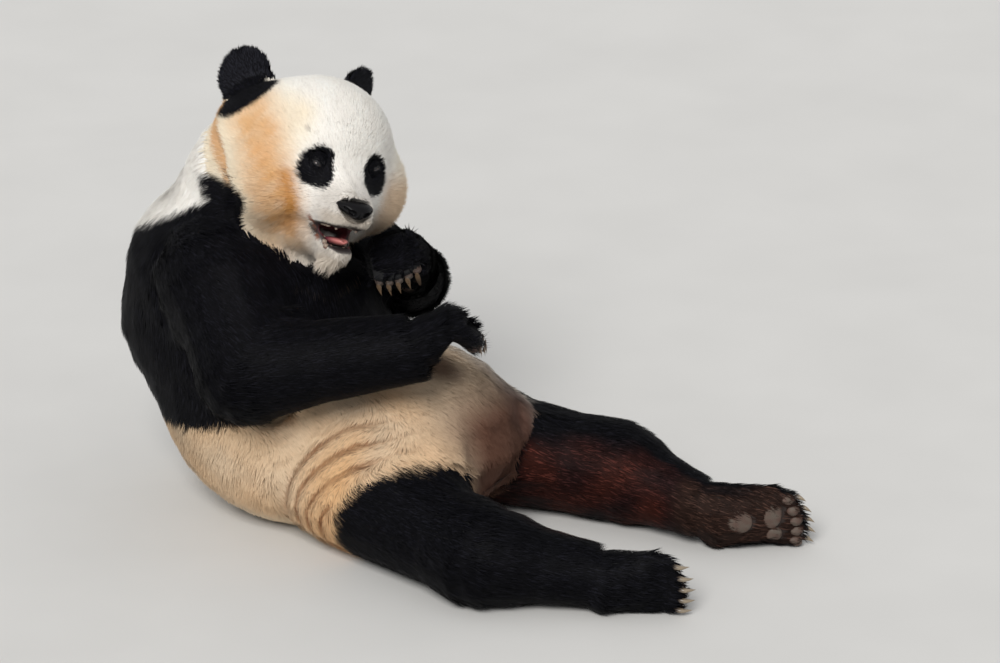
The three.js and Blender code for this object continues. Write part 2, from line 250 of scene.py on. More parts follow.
def set_uv(mesh, corner_uv):
    layer = mesh.uv_layers.new(name="OFBake", do_init=False)
    layer.uv.foreach_set("vector", np.asarray(corner_uv, np.float32).ravel())


def keep(piece, slot, *nodes):
    """Hands a finished piece to the frame: it rides on the one body and replaces the nodes."""
    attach(piece, "root")
    if nodes:
        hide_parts(*nodes)
    print(piece.name, "faces", len(piece.data.polygons))


# %% [markdown]
# ## Finishes
# Every surface is a node tree. Written out node by node a tree is hard to read, so a small
# class writes it: `add` makes a node from its type, its settings and what goes into its
# sockets, and gives back an output that can go into the next one.

# %% A class that writes node trees
OBJECT_PLACE = 3
MIX_SHARE, MIX_FIRST, MIX_SECOND, MIX_RESULT = 0, 6, 7, 2
GRAIN_ROUGHNESS = 0.6
GRAIN_LOW, GRAIN_HIGH = 0.3, 0.7


def srgb(red, green, blue):
    """A colour as seen on a screen, 0 to 255, as the linear values that light works with."""
    values = np.array([red, green, blue]) / 255
    return np.where(values < 0.04045, values / 12.92, ((values + 0.055) / 1.055) ** 2.4)


def rgba(colour):
    return (*(float(v) for v in colour), 1.0)


class Finish:
    def __init__(self, name):
        self.material = bpy.data.materials.new(name)
        self.material.use_nodes = True
        self.tree = self.material.node_tree
        self.tree.nodes.clear()

    def add(self, kind, settings=None, sockets=None, output=0):
        node = self.tree.nodes.new(kind)
        for key, value in (settings or {}).items():
            setattr(node, key, value)
        for key, value in (sockets or {}).items():
            if isinstance(value, bpy.types.NodeSocket):
                self.tree.links.new(value, node.inputs[key])
            else:
                node.inputs[key].default_value = value
        return node.outputs[output] if len(node.outputs) else node

    def noise(self, scale, detail=3.0):
        """Noise of so many grains to a metre."""
        place = self.add("ShaderNodeTexCoord", output=OBJECT_PLACE)
        sockets = {"Vector": place, "Scale": scale, "Detail": detail, "Roughness": GRAIN_ROUGHNESS}
        return self.add("ShaderNodeTexNoise", {}, sockets)

    def stops(self, value, *stops):
        """A colour ramp between two stops; a plain number is a grey."""
        shade = self.add("ShaderNodeValToRGB", {}, {0: value})
        for element, (place, colour) in zip(shade.node.color_ramp.elements, stops):
            element.position = place
            element.color = rgba([colour] * 3 if np.isscalar(colour) else colour)
        return shade

    def marking(self):
        """The colour that set_colours wrote."""
        return self.add("ShaderNodeVertexColor", {"layer_name": MARKING})

    def worn(self, grain, dark, share):
        """The marking, darkened by a share where the grain is low."""
        settings = {"data_type": "RGBA", "blend_type": "MULTIPLY", "clamp_factor": True}
        shade = self.stops(grain, (GRAIN_LOW, dark), (GRAIN_HIGH, 1.0))
        sockets = {MIX_SHARE: share, MIX_FIRST: self.marking(), MIX_SECOND: shade}
        return self.add("ShaderNodeMix", settings, sockets, MIX_RESULT)

    def bump(self, height, distance, strength=1.0):
        sockets = {"Height": height, "Distance": distance, "Strength": strength}
        return self.add("ShaderNodeBump", {}, sockets)

    def finished(self, **sockets):
        """Ends the tree in a Principled surface. Its sockets' names are written with _."""
        named = {key.replace("_", " "): value for key, value in sockets.items()}
        surface = self.add("ShaderNodeBsdfPrincipled", {}, named)
        self.add("ShaderNodeOutputMaterial", {}, {"Surface": surface})
        return self.material


# %% [markdown]
# ## The studio
# A pale floor, a soft sun high over the camera's left shoulder and an even sky. A sun lights
# the floor the same all over, where a lamp would leave a bright pool. The floor runs out far
# past the animal, so that it is also the backdrop. Light is kept at a plain level, at which a
# colour renders about as it is written and the white coat doesn't burn out.

# %% Floor, sun and sky
FLOOR_HALF = 30.0
FLOOR_DROP = 0.2 * MM
FLOOR_TONES = srgb(213, 212, 209), srgb(217, 216, 213)
SKY_STRENGTH = 0.50
SKY_COLOUR = (0.97, 0.98, 1.0)
SUN_STRENGTH = 2.25
SUN_COLOUR = (1.0, 0.985, 0.965)
SUN_ANGLE = math.radians(26)
SUN_FROM = Vector((-3.3, -0.8, 3.1))

floor_finish = Finish("studio floor")
floor_grain = floor_finish.noise(3.0, detail=2.0)
floor_stops = zip((GRAIN_LOW, GRAIN_HIGH), FLOOR_TONES)
floor_material = floor_finish.finished(
    Base_Color=floor_finish.stops(floor_grain, *floor_stops), Roughness=0.9)
floor_corners = np.array([[x, y, 0.0] for x, y in ((-1, -1), (1, -1), (1, 1), (-1, 1))])
floor = new_object(
    "studio_floor", floor_corners * FLOOR_HALF, np.array([[0, 1, 2, 3]]), floor_material)
floor.location.z = -FLOOR_DROP

sun_data = bpy.data.lights.new("sun", "SUN")
sun_data.energy = SUN_STRENGTH
sun_data.angle = SUN_ANGLE
sun_data.color = SUN_COLOUR
sun = bpy.data.objects.new("sun", sun_data)
sun.rotation_euler = SUN_FROM.to_track_quat("Z", "Y").to_euler()
bpy.context.scene.collection.objects.link(sun)
sky = bpy.data.worlds.new("sky")
bpy.context.scene.world = sky
sky.use_nodes = True
sky.node_tree.nodes["Background"].inputs["Color"].default_value = rgba(SKY_COLOUR)
sky.node_tree.nodes["Background"].inputs["Strength"].default_value = SKY_STRENGTH
bpy.context.scene.view_settings.view_transform = "Standard"

# %% [markdown]
# ## The camera
# It looks at the animal from its right front and from above, from so far off that near and
# far paw keep nearly the same scale.

# %% Camera
CAMERA_AZIMUTH = math.radians(-60)
CAMERA_ELEVATION = math.radians(22)
CAMERA_DISTANCE = 9.0
CAMERA_LENS, CAMERA_SENSOR = 180, 36
CAMERA_FAR = 200
LOOK_PAST_MIDDLE = Vector((22.6, -135.1, -14.2)) * MM

look_at = (cad_low + cad_high) / 2 + LOOK_PAST_MIDDLE
back = Vector((
    math.sin(CAMERA_AZIMUTH) * math.cos(CAMERA_ELEVATION),
    -math.cos(CAMERA_AZIMUTH) * math.cos(CAMERA_ELEVATION),
    math.sin(CAMERA_ELEVATION),
))
camera_data = bpy.data.cameras.new("camera")
camera_data.lens = CAMERA_LENS
camera_data.sensor_width = CAMERA_SENSOR
camera_data.clip_end = CAMERA_FAR
camera = bpy.data.objects.new("camera", camera_data)
camera.location = look_at + back * CAMERA_DISTANCE
camera.rotation_euler = (-back).to_track_quat("-Z", "Y").to_euler()
bpy.context.scene.collection.objects.link(camera)
bpy.context.scene.camera = camera
print("camera at", [round(v, 2) for v in camera.location])

# %% [markdown]
# ## The head's own frame
# The head is turned and tilted, so what sits on it is placed in the head's own directions:
# left, forward and up. They follow from where the solids' eyes, ears and nose are.

# %% Head frame
EYES = {"out": 0.052, "ahead": 0.114, "up": 0.022}
EARS = {"out": 0.112, "ahead": -0.139, "up": 0.099}
EYES_OVER_EARS = math.atan2(EARS["up"] - EYES["up"], EYES["ahead"] - EARS["ahead"])


def node_middle(name):
    low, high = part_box(name)
    return np.array((low + high) / 2)


class HeadFrame:
    """Turns places between the world and the head's left, forward and up."""

    def __init__(self):
        eyes = [node_middle(f"eye_{side}") for side in SIDES]
        ears = [node_middle(f"ear_{side}") for side in SIDES]
        left = unit(eyes[1] - eyes[0])
        level = square_to(sum(eyes) / 2 - sum(ears) / 2, left)
        rise = np.cross(left, level)
        rise *= np.sign(rise[2])
        cosine, sine = math.cos(EYES_OVER_EARS), math.sin(EYES_OVER_EARS)
        forward = level * cosine + rise * sine
        self.ways = np.array([left, forward, rise * cosine - level * sine])
        self.origin = sum(eyes) / 2 - forward * EYES["ahead"] - self.ways[2] * EYES["up"]

    def local(self, points):
        return (points - self.origin) @ self.ways.T

    def world(self, local):
        return self.origin + self.way(local)

    def way(self, local):
        return np.asarray(local) @ self.ways


head = HeadFrame()
print("nose in the head's frame", head.local(node_middle("nose")).round(3))

# %% [markdown]
# ## The skin
# One skin covers the animal from nose to tail, so that no seam shows where the solids are
# parted. It could be modelled anew, but then it would drift from the solids. Here their meshes
# are swollen a little so that the seams close, remeshed as one volume, smoothed until the
# facets are gone, and drawn in by the depth of the coat.

# %% Swell, remesh and keep one shell
VOXEL = 4.6 * MM
SWELL = 2.0 * MM
PART_GAP = 9 * MM
HANDS_CLEAR = 4.0 * MM


def node_mesh(name):
    return welded(*mesh_arrays(frame["nodes"][name].data))


def is_kin(node, other):
    """Whether two nodes are one flesh. Forearms and hands lie against the rest of the body."""
    free = [n.startswith(("forearm", "hand")) for n in (node, other)]
    arm = all(n.startswith(("forearm", "hand", "upper_arm")) for n in (node, other))
    same = node.split("_")[-1] == other.split("_")[-1]
    return not any(free) or (arm and same)


parts = {name: node_mesh(name) for name in FLESH}
trees = {name: BVHTree.FromPolygons(p.tolist(), t.tolist()) for name, (p, t) in parts.items()}


def swollen(name):
    """A node's mesh a little larger, but smaller where it lies against a part not its kin."""
    points, triangles = parts[name]
    grow = np.full(len(points), SWELL)
    strangers = [trees[other] for other in FLESH if other != name and not is_kin(name, other)]
    for i, point in enumerate(points):
        if any(tree.find_nearest(point, PART_GAP)[0] for tree in strangers):
            grow[i] = -HANDS_CLEAR
    return points + normals_of(points, triangles) * grow[:, None], triangles


def remeshed(points, triangles, voxel):
    """One closed surface of even four-cornered faces round everything."""
    rough = new_object("rough", points, triangles)
    change = rough.modifiers.new("remesh", "REMESH")
    change.mode = "VOXEL"
    change.voxel_size = voxel
    shaped = rough.evaluated_get(bpy.context.evaluated_depsgraph_get()).to_mesh()
    places = read(shaped.vertices, "co", 3).astype(float)
    corners = read(shaped.loops, "vertex_index", 1, np.int32).reshape(-1, 4)
    bpy.data.objects.remove(rough)
    return places, corners


def largest_shell(points, quads):
    """Drops the small closed shells that remain where seams met inside the body."""
    labels = np.arange(len(points))
    first, second = sides_of(quads).T
    while True:
        lowest = labels.copy()
        np.minimum.at(lowest, first, labels[second])
        np.minimum.at(lowest, second, labels[first])
        lowest = lowest[lowest]
        if (lowest == labels).all():
            break
        labels = lowest
    kept = labels == np.bincount(labels).argmax()
    place = np.cumsum(kept) - 1
    return points[kept], place[quads[kept[quads].all(1)]]


# %% The closed body
outer, quads = remeshed(*joined([swollen(name) for name in FLESH]), VOXEL)
outer, quads = largest_shell(outer, quads)
edges = np.unique(np.sort(sides_of(quads)), axis=0)
degree = np.bincount(edges.ravel(), minlength=len(outer))
print("closed body: points", len(outer), "faces", len(quads))

# %% Which node each point of the skin belongs to
node_tree = BVHTree.FromPolygons(*(a.tolist() for a in joined([parts[n] for n in FLESH])))
triangle_node = np.repeat(np.arange(len(FLESH)), [len(parts[n][1]) for n in FLESH])
nearest = [node_tree.find_nearest(point)[2] for point in outer]
skin_node = triangle_node[np.array(nearest)]


def in_nodes(node_of, *starts):
    """1 where a point's node has a name with one of these beginnings, else 0."""
    return np.array([float(name.startswith(starts)) for name in FLESH])[node_of]


def spread(values, rounds, give=0.5):
    """Averages values over the skin with their neighbours, so many times."""
    flat = values.ndim == 1
    values = values[:, None] if flat else values
    give = np.broadcast_to(give, len(values))[:, None]
    for _ in range(rounds):
        around = np.stack([
            np.bincount(edges[:, 0], values[edges[:, 1], k], len(values))
            + np.bincount(edges[:, 1], values[edges[:, 0], k], len(values))
            for k in range(values.shape[1])
        ], 1) / degree[:, None]
        values = values + (around - values) * give
    return values[:, 0] if flat else values


# %% [markdown]
# ### How deep the coat is
# Most of the coat lies so that it stands about a centimetre off the skin. On the muzzle and
# round the eyes it is only a few millimetres deep, and inside the mouth there is next to none.
# Two more depths shape the skin alone: it sinks in a pit under each eyeball, and it is raised
# at the nape, where the animal's outline runs a little outside the solids.

# %% Depths, and what they are measured by
COAT_DEPTH = {
    "head": 11, "jaw": 11, "neck": 9, "chest": 9, "belly": 8, "rump": 9, "tail": 12,
    "ear": 9, "upper_arm": 9, "forearm": 10, "hand": 8, "thigh": 9, "shank": 10, "foot": 7,
}
# On the head: the depth in millimetres and the area that has it.
HEAD_DEPTHS = {
    "muzzle": (4.0, (("ahead", 0.10, 0.15), ("up", -0.140, -0.120))),
    "round the eye": (5.0, (("from_eye", 0.045, 0.022),)),
    "mouth": (1.0, (("in_mouth", -0.004, 0.002),)),
}
EYE_PIT = (16.0, (("from_eye", 0.016, 0.010),))
NODE_BLEND, AREA_BLEND = 24, 4
BALL_SHIFT = {"out": 0.007, "up": 0.001}
FACE_AHEAD = 0.06
MOUTH_CORNER = (0.122, -0.091)
MOUTH_DEEPEST = 0.02
UPPER_LIP_RISE = 0.18
LOWER_LIP = {"drop": 0.027, "slope": 0.135}
PALATE = {"middle": (0, 0.118, -0.099), "reach": (0.036, 0.052, 0.023)}
NAPE = {"middle": (-0.045, 0.470, 0.660), "reach": 0.105, "raised": 15.0}


def in_mouth(local, margin=0.0):
    """How far a place lies inside the open mouth: between the two lips or in the palate."""
    ahead = local[:, 1] - MOUTH_CORNER[0]
    up = local[:, 2] - MOUTH_CORNER[1]
    past = ahead - LOWER_LIP["drop"]
    lower = np.maximum(-ahead, -LOWER_LIP["drop"] - past * LOWER_LIP["slope"])
    gap = np.minimum(ahead * UPPER_LIP_RISE - up, up - lower)
    egg = np.linalg.norm((local - PALATE["middle"]) / PALATE["reach"], axis=1)
    return np.maximum(np.minimum(gap + margin, MOUTH_DEEPEST), (1 - egg) * PALATE["reach"][2])


def eye_distance(local):
    """Distance from the nearer eye across the face."""
    out = np.abs(local[:, 0]) - EYES["out"] - BALL_SHIFT["out"]
    up = local[:, 2] - EYES["up"] - BALL_SHIFT["up"]
    return np.hypot(out, up) + 0.5 * np.maximum(FACE_AHEAD - local[:, 1], 0)


def head_measures(local):
    """What the edges of the head's areas are measured by."""
    out, ahead, up = local.T
    return {"out": out, "aside": np.abs(out), "ahead": ahead, "up": up,
            "from_eye": eye_distance(local), "in_mouth": in_mouth(local)}


# %% Coat depth over the body
on_head = in_nodes(skin_node, "head", "jaw")
measures = head_measures(head.local(outer))
depth = sum(in_nodes(skin_node, name) * value for name, value in COAT_DEPTH.items())
depth = spread(depth, NODE_BLEND)
for value, edges_of_area in HEAD_DEPTHS.values():
    depth = between(depth, value, on_head * area(edges_of_area, measures))
coat_depth = spread(depth, AREA_BLEND)
nape_away = np.linalg.norm(outer - np.array(NAPE["middle"]), axis=1)
nape_share = ramp(NAPE["reach"], 0.0, nape_away) * in_nodes(skin_node, "neck", "chest")
depth = coat_depth - NAPE["raised"] * nape_share
depth = between(depth, EYE_PIT[0], on_head * area(EYE_PIT[1], measures))
print("coat depth, mm", [round(float(f(coat_depth)), 1) for f in (np.min, np.mean, np.max)])

# %% Smooth the facets and draw the skin in
SMOOTHING = {"head": 0.16, "jaw": 0.12, "ear": 0.12, "hand": 0.06, "foot": 0.06}
TRUNK_SMOOTHING = 0.5
GIVE_ROUNDS, SMOOTH_ROUNDS, LIFT_ROUNDS = 12, 60, 8
LAST_ROUNDS, LAST_GIVE = 2, 0.4
outer_tree = BVHTree.FromPolygons(outer.tolist(), quads.tolist())


def height_over(tree, points):
    """Signed distance from a surface, above 0 outside it."""
    heights = np.empty(len(points))
    for i, point in enumerate(points):
        place, normal, _, distance = tree.find_nearest(point)
        heights[i] = distance if (Vector(point) - place).dot(normal) > 0 else -distance
    return heights


give = np.full(len(outer), TRUNK_SMOOTHING)
for start, value in SMOOTHING.items():
    give = np.where(in_nodes(skin_node, start) > 0, value, give)
smooth = spread(outer, SMOOTH_ROUNDS, spread(give, GIVE_ROUNDS))
lift = spread(-SWELL - depth * MM - height_over(outer_tree, smooth), LIFT_ROUNDS)
skin_triangles = halves(quads)
skin_points = smooth + normals_of(smooth, skin_triangles) * lift[:, None]
skin_points = spread(skin_points, LAST_ROUNDS, LAST_GIVE)
print("skin: mean depth under the solids, mm", round(float(-lift.mean() / MM), 1))

# %% [markdown]
# ### Cups, creases and folds
# The solids keep to the large forms. What is finer is pushed into the skin here: the hollow of
# each ear, the crease where the cheek's ruff stands off the neck, and the folds of loose skin
# between flank and thigh. The ruff's edge is a plane in the head's frame.

# %% Where cups, creases and folds lie
EAR_TURN = math.radians(30)
EAR_CUP = {"depth": 11.5 * MM, "wide": 0.044, "high": 0.052, "under": 0.004, "power": 0.6}
EAR_FRONT = (-0.004, 0.006)
RUFF = {"ahead": 0.634, "up": 0.773, "edge": -0.036, "jaw_edge": -0.118}
RUFF_JAW = (0.150, 0.110)
CREASE = {"depth": 10.0 * MM, "behind": 9 * MM, "width": 13 * MM, "blend": 2}
CREASE_AREA = (("aside", 0.05, 0.08), ("up", 0.03, -0.03), ("up", -0.24, -0.18))
HAUNCH = {"forward": -0.090, "up": 0.060, "reach": 0.152}
FOLDS = {"depth": 10.0 * MM, "pitch": 31 * MM, "slant": 0.04, "first": 0.008, "sharp": 6,
         "wander": 0.22, "lean": 3, "lean_from": 0.07}
FOLD_AREA = (("across", -0.09, -0.15), ("past_haunch", 0.012, 0.030),
             ("past_haunch", 0.145, 0.110), ("turn", -0.25, 0.05), ("leaning_turn", 1.45, 0.75))


def before_ruff(local):
    """How far a place lies before the edge of the cheek's ruff; below 0 on the neck."""
    jaw = ramp(*RUFF_JAW, np.abs(local[:, 0]))
    edge = between(RUFF["edge"], RUFF["jaw_edge"], jaw)
    return RUFF["ahead"] * local[:, 1] + RUFF["up"] * local[:, 2] - edge


def round_haunch(points):
    """How far a place lies outside the black haunch, seen from the side, and where round it."""
    forward, up = points[:, 1] - HAUNCH["forward"], points[:, 2] - HAUNCH["up"]
    return np.hypot(forward, up) - HAUNCH["reach"], np.arctan2(up, forward)


def fold_area(points):
    """1 where the flank's loose skin lies in folds, 0 elsewhere."""
    past, turn = round_haunch(points)
    return area(FOLD_AREA, {"across": points[:, 0], "past_haunch": past, "turn": turn,
                            "leaning_turn": turn + FOLDS["lean"] * (past - FOLDS["lean_from"])})


def fold_lines(points):
    """1 at the bottom of a flank fold, 0 between them and elsewhere."""
    past, turn = round_haunch(points)
    phase = past + FOLDS["slant"] * turn - FOLDS["first"]
    phase = phase / FOLDS["pitch"] + FOLDS["wander"] * waves(points, 0.15, 51)
    deep = (0.5 + 0.5 * np.cos(2 * math.pi * phase)) ** FOLDS["sharp"]
    return fold_area(points) * patchy(points, 0.08, 53, 0.85, 0.30) * deep


# %% Push in the ears, the ruff's crease and the flank's folds
skin_normals = normals_of(skin_points, skin_triangles)
local = head.local(skin_points)
for side, sign in SIDES.items():
    place = local - head.local(node_middle(f"ear_{side}"))
    turned = sign * math.sin(EAR_TURN), math.cos(EAR_TURN)
    ahead = place[:, 0] * turned[0] + place[:, 1] * turned[1]
    across = (place[:, 0] * turned[1] - place[:, 1] * turned[0]) / EAR_CUP["wide"]
    hollow = 1 - across ** 2 - ((place[:, 2] + EAR_CUP["under"]) / EAR_CUP["high"]) ** 2
    share = in_nodes(skin_node, f"ear_{side}") * ramp(*EAR_FRONT, ahead)
    share = share * np.clip(hollow, 0, 1) ** EAR_CUP["power"]
    skin_points = skin_points - head.way((*turned, 0)) * (share * EAR_CUP["depth"])[:, None]
    local = head.local(skin_points)
behind = (before_ruff(local) + CREASE["behind"]) / CREASE["width"]
crease = np.exp(-behind ** 2) * area(CREASE_AREA, head_measures(local))
crease = crease * in_nodes(skin_node, "head", "jaw", "neck", "chest")
crease = spread(crease, CREASE["blend"]) * CREASE["depth"]
folds = fold_lines(skin_points)
skin_points = skin_points - skin_normals * (crease + folds * FOLDS["depth"])[:, None]
skin_normals = normals_of(skin_points, skin_triangles)
skin_local = head.local(skin_points)
print("points in the ruff's crease", int((crease > MM).sum()), "in folds", int((folds > 0.3).sum()))

# %% [markdown]
# ## Markings
# Black and white fur meets along a ragged edge, where hairs of the one lie over the other. A
# painted image could show that from one side only. Here each marking is a function of the
# place on the body: skin and tufts both ask it for their colour, and each tuft asks at its own
# root, a little astray, so that the edges interlock.

# %% Colours of the coat
WHITE = srgb(253, 249, 242)
CREAM = srgb(246, 232, 206)
PEACH = srgb(230, 180, 122)
RUST = srgb(206, 138, 50)
TAN = srgb(220, 197, 168)
DUSTY = srgb(182, 163, 138)
STAIN = srgb(92, 54, 42)
RED_BROWN = srgb(94, 44, 30)
EARTH = srgb(96, 72, 56)
FOLD_BROWN_AND_SHADE = srgb(150, 98, 62)
MOUTH_BROWN = srgb(146, 82, 54)
SMOKE = srgb(96, 84, 76)
EAR_GREY = srgb(56, 57, 64)
BLACK = srgb(9, 9, 13)
MUZZLE_GREY = srgb(226, 220, 212)
MOUTH_RED = srgb(104, 32, 40)
LIP_BLACK = srgb(34, 24, 24)

# %% Lines and patches


def near(places, centre, reach, soft):
    """1 within the reach of a place and 0 past it, with a soft edge."""
    return ramp(reach + soft, reach - soft, np.linalg.norm(places - np.array(centre), axis=1))


def near_line(places, start, end, reach, soft):
    start, end = np.array(start), np.array(end)
    along = np.clip(dot(places - start, end - start) / dot(end - start, end - start), 0, 1)
    away = np.linalg.norm(places - start - along[:, None] * (end - start), axis=1)
    return ramp(reach + soft, reach - soft, away)


def near_path(places, path, reach, soft):
    """1 within the reach of a line through several places."""
    return np.max([near_line(places, a, b, reach, soft) for a, b in zip(path, path[1:])], axis=0)


# %% The head's markings
EYE_PATCH = {"out": 0.060, "up": 0.0125, "long": 0.040, "short": 0.029, "narrower": 0.10,
             "slant": math.radians(22)}
HEAD_AREAS = {
    "rim": (("aside", 0.095, 0.150), ("up", 0.09, 0.04)),
    "temple": (("out", -0.045, -0.090), ("ahead", 0.12, 0.07), ("up", 0.14, 0.09)),
    "fringe": (("before_ruff", 0.030, 0.010), ("out", -0.02, -0.07), ("up", 0.05, 0.02)),
    "far cheek": (("out", 0.08, 0.12), ("up", 0.03, -0.03)),
    "muzzle": (("ahead", 0.12, 0.15), ("up", 0.015, -0.025)),
    "whiskers": (("ahead", 0.145, 0.175), ("up", -0.045, -0.062), ("up", -0.105, -0.09)),
    "under the chin": (("up", -0.135, -0.155),),
    "chin": (("up", -0.11, -0.13),),
    "lip": (("in_mouth", -0.0060, -0.0020), ("ahead", 0.10, 0.11)),
    "face": (("ahead", 0.03, 0.05),),
}
# Places along each line in the head's frame, its reach and the softness of its edge.
HEAD_LINES = {
    "blush": (((-0.132, -0.03, 0.055), (-0.140, 0.03, 0.030), (-0.130, 0.080, -0.030),
               (-0.105, 0.090, -0.070), (-0.077, 0.073, -0.110), (-0.058, 0.060, -0.138)),
              0.042, 0.034),
    "streak": (((-0.106, 0.098, -0.020), (-0.094, 0.106, -0.049), (-0.078, 0.096, -0.083),
                (-0.062, 0.070, -0.112), (-0.056, 0.062, -0.132)), 0.012, 0.014),
    "bridge": (((-0.012, 0.134, 0.024), (0.002, 0.166, -0.004)), 0.003, 0.010),
    "philtrum": (((0, 0.200, -0.058), (0, 0.196, -0.076)), 0.0012, 0.0018),
}
LINES_ON_BOTH_SIDES = {
    "mouth corner": (((0.052, 0.124, -0.086), (0.043, 0.127, -0.100), (0.036, 0.133, -0.115)),
                     0.0070, 0.0055),
    "ear root": (((0.133, -0.085, 0.116), (0.140, -0.083, 0.098), (0.150, -0.096, 0.078)),
                 0.054, 0.006),
}
# A place, its reach and the softness of its edge.
SCAR = ((-0.083, 0.092, 0.072), 0.004, 0.004)


def eye_patch(local, astray):
    """The black patch round each eye, a leaning egg: 1 inside."""
    out = np.abs(local[:, 0]) - EYE_PATCH["out"]
    up = local[:, 2] - EYE_PATCH["up"]
    cosine, sine = math.cos(EYE_PATCH["slant"]), math.sin(EYE_PATCH["slant"])
    along = up * cosine - out * sine
    across = out * cosine + up * sine
    short = EYE_PATCH["short"] - EYE_PATCH["narrower"] * along
    egg = np.hypot(along / EYE_PATCH["long"], across / short)
    return ramp(0.05, -0.05, egg - 1 + astray / EYE_PATCH["long"])


def head_colours(local, astray):
    """The head's fur, by place in the head's frame."""
    measures = {**head_measures(local), "before_ruff": before_ruff(local)}
    share = areas(HEAD_AREAS, measures)
    both = np.concatenate([np.abs(local[:, :1]), local[:, 1:]], 1)
    for lines, places in ((HEAD_LINES, local), (LINES_ON_BOTH_SIDES, both)):
        share |= {name: near_path(places, *line) for name, line in lines.items()}
    chin = share["under the chin"] + 0.5 * share["chin"]
    return layered(
        plain(WHITE, local),
        (CREAM, 0.6 * share["rim"]),
        (CREAM, 0.8 * share["temple"]),
        (PEACH, patchy(local, 0.035, 61, 0.80, 0.18) * share["blush"]),
        (RUST, 0.85 * share["streak"]),
        (CREAM, 0.20 * share["fringe"]),
        # Tan and peach on the far cheek: partly its own tone, partly painted shade on the side away
        # from the light.
        (TAN, 0.60 * share["far cheek"]),
        (PEACH, 0.30 * share["far cheek"]),
        (MUZZLE_GREY, 0.9 * share["muzzle"]),
        (DUSTY, 0.45 * share["whiskers"]),
        (SMOKE, patchy(local, 0.035, 61, 0.22, 0.12) * share["bridge"]),
        (EARTH, 0.7 * near(local, *SCAR)),
        (DUSTY, 0.55 * np.clip(chin, 0, 1)),
        (LIP_BLACK, 0.9 * share["lip"]),
        (MOUTH_BROWN, 0.9 * share["mouth corner"]),
        (LIP_BLACK, 0.8 * share["philtrum"]),
        (BLACK, share["ear root"]),
        (BLACK, eye_patch(local, astray) * share["face"]),
    )


# %% Behind the cheek's ruff
# A tan strip above and black below, with a smoky fuzz where the two meet.
RUFF_STRIP = mixed(TAN, RUST, 0.60)
RUFF_FUZZ = mixed(SMOKE, BLACK, 0.7)
RUFF_AREAS = {
    "strip": (("past", -0.002, 0.003), ("past", 0.042, 0.022), ("aside", 0.06, 0.09),
              ("up", 0.075, 0.03)),
    "fuzz": (("ragged_up", -0.040, -0.066), ("ragged_past", 0.032, 0.014),
             ("past", -0.002, 0.002)),
    "below": (("up", -0.070, -0.088), ("past", -0.002, 0.002), ("past", 0.10, 0.08)),
}
JAW_EDGE = (("up", -0.066, -0.082), ("before_ruff", 0.004, -0.010))


def behind_ruff(colour, local, astray):
    past = -before_ruff(local) + astray
    share = areas(RUFF_AREAS, {
        "past": past, "ragged_past": past + 2.5 * astray, "aside": np.abs(local[:, 0]),
        "up": local[:, 2], "ragged_up": local[:, 2] + 2 * astray})
    return layered(colour, (RUFF_STRIP, 0.90 * share["strip"]), (RUFF_FUZZ, share["fuzz"]),
                   (BLACK, share["below"]))


# %% The trunk's and the legs' markings
# The white nape ends on a plane that rises forward, and so does the black shoulder band below.
NAPE_PLANE = {"slope": 0.52, "height": 0.821}
BAND_PLANE = {"slope": 0.26, "height": 0.300, "arch": 0.045}
# A place, its reach and the softness of its edge.
WRIST_SHADE_AND_STAIN = ((0.015, -0.015, 0.330), 0.040, 0.030)
TRUNK_AREAS = {
    "back": (("along", 0.30, 0.45),),
    "far flank": (("across", 0.06, 0.16),),
    "near flank": (("across", -0.05, -0.12),),
    "by the haunch": (("past_haunch", 0.13, 0.02), ("across", -0.08, -0.16),
                      ("along", 0.00, 0.06)),
    "seat": (("up", 0.06, 0.02), ("along", 0.08, 0.16)),
    "groin": (("along", 0.02, -0.13), ("up", 0.36, 0.24), ("across", -0.17, -0.02),
              ("across", 0.24, 0.12)),
    "throat": (("along", 0.30, 0.24), ("up", 0.66, 0.62)),
    "arch": (("along", 0.26, 0.12),),
    "above the nape's edge": (("over_nape", -0.006, 0.006),),
    "above the band's edge": (("over_band", -0.005, 0.005),),
}
LEG_MIDDLE = 0.0226
LEG_AREAS = {
    "haunch": (("past_haunch", 0.008, -0.008),),
    "leg": (("along", -0.085, -0.11),),
    "stained": (("inward", 0.1, 0.6), ("along", -0.02, -0.10), ("along", -0.46, -0.36),
                ("up", 0.185, 0.14)),
    "sole": (("inward", 0.1, 0.6), ("along", -0.40, -0.44)),
}
SOLE_BROWN = mixed(EARTH, STAIN, 0.4)


def trunk_colours(points, astray):
    """Neck and trunk: white nape, black band over the shoulders, tan flanks, stained belly."""
    across, along, up = points.T
    arch = BAND_PLANE["arch"] * area(TRUNK_AREAS["arch"], {"along": along})
    nape = up + NAPE_PLANE["slope"] * along - NAPE_PLANE["height"] + astray
    band = up + BAND_PLANE["slope"] * along - BAND_PLANE["height"] + astray * 1.8 - arch
    share = areas(TRUNK_AREAS, {
        "across": across, "along": along, "up": up, "past_haunch": round_haunch(points)[0],
        "over_nape": nape, "over_band": band})
    flank = layered(
        plain(TAN, points),
        (DUSTY, 0.7 * share["back"]),
        # The far flank is painted pale grey: partly paler fur, partly painted light on that side.
        (MUZZLE_GREY, 0.7 * share["far flank"]),
        (PEACH, patchy(points, 0.14, 52, 0.22, 0.20) * share["near flank"]),
        (PEACH, 0.60 * share["by the haunch"]),
        # Brown along the flank's folds: partly the fur's own colour, partly painted shade in the
        # creases.
        (FOLD_BROWN_AND_SHADE, 0.80 * fold_lines(points)),
        (CREAM, 0.5 * share["seat"]),
        # Over the groin and the lower front of the belly: partly real stain, partly painted shade.
        (STAIN, 0.93 * share["groin"]),
        # A dark spot by the near wrist: painted shade of the wrist on the belly, with some stain.
        (EARTH, 0.92 * near(points, *WRIST_SHADE_AND_STAIN)),
    )
    white = share["above the nape's edge"] * (1 - share["throat"])
    upper = behind_ruff(mixed(plain(BLACK, points), WHITE, white), head.local(points), astray)
    return mixed(flank, upper, share["above the band's edge"])


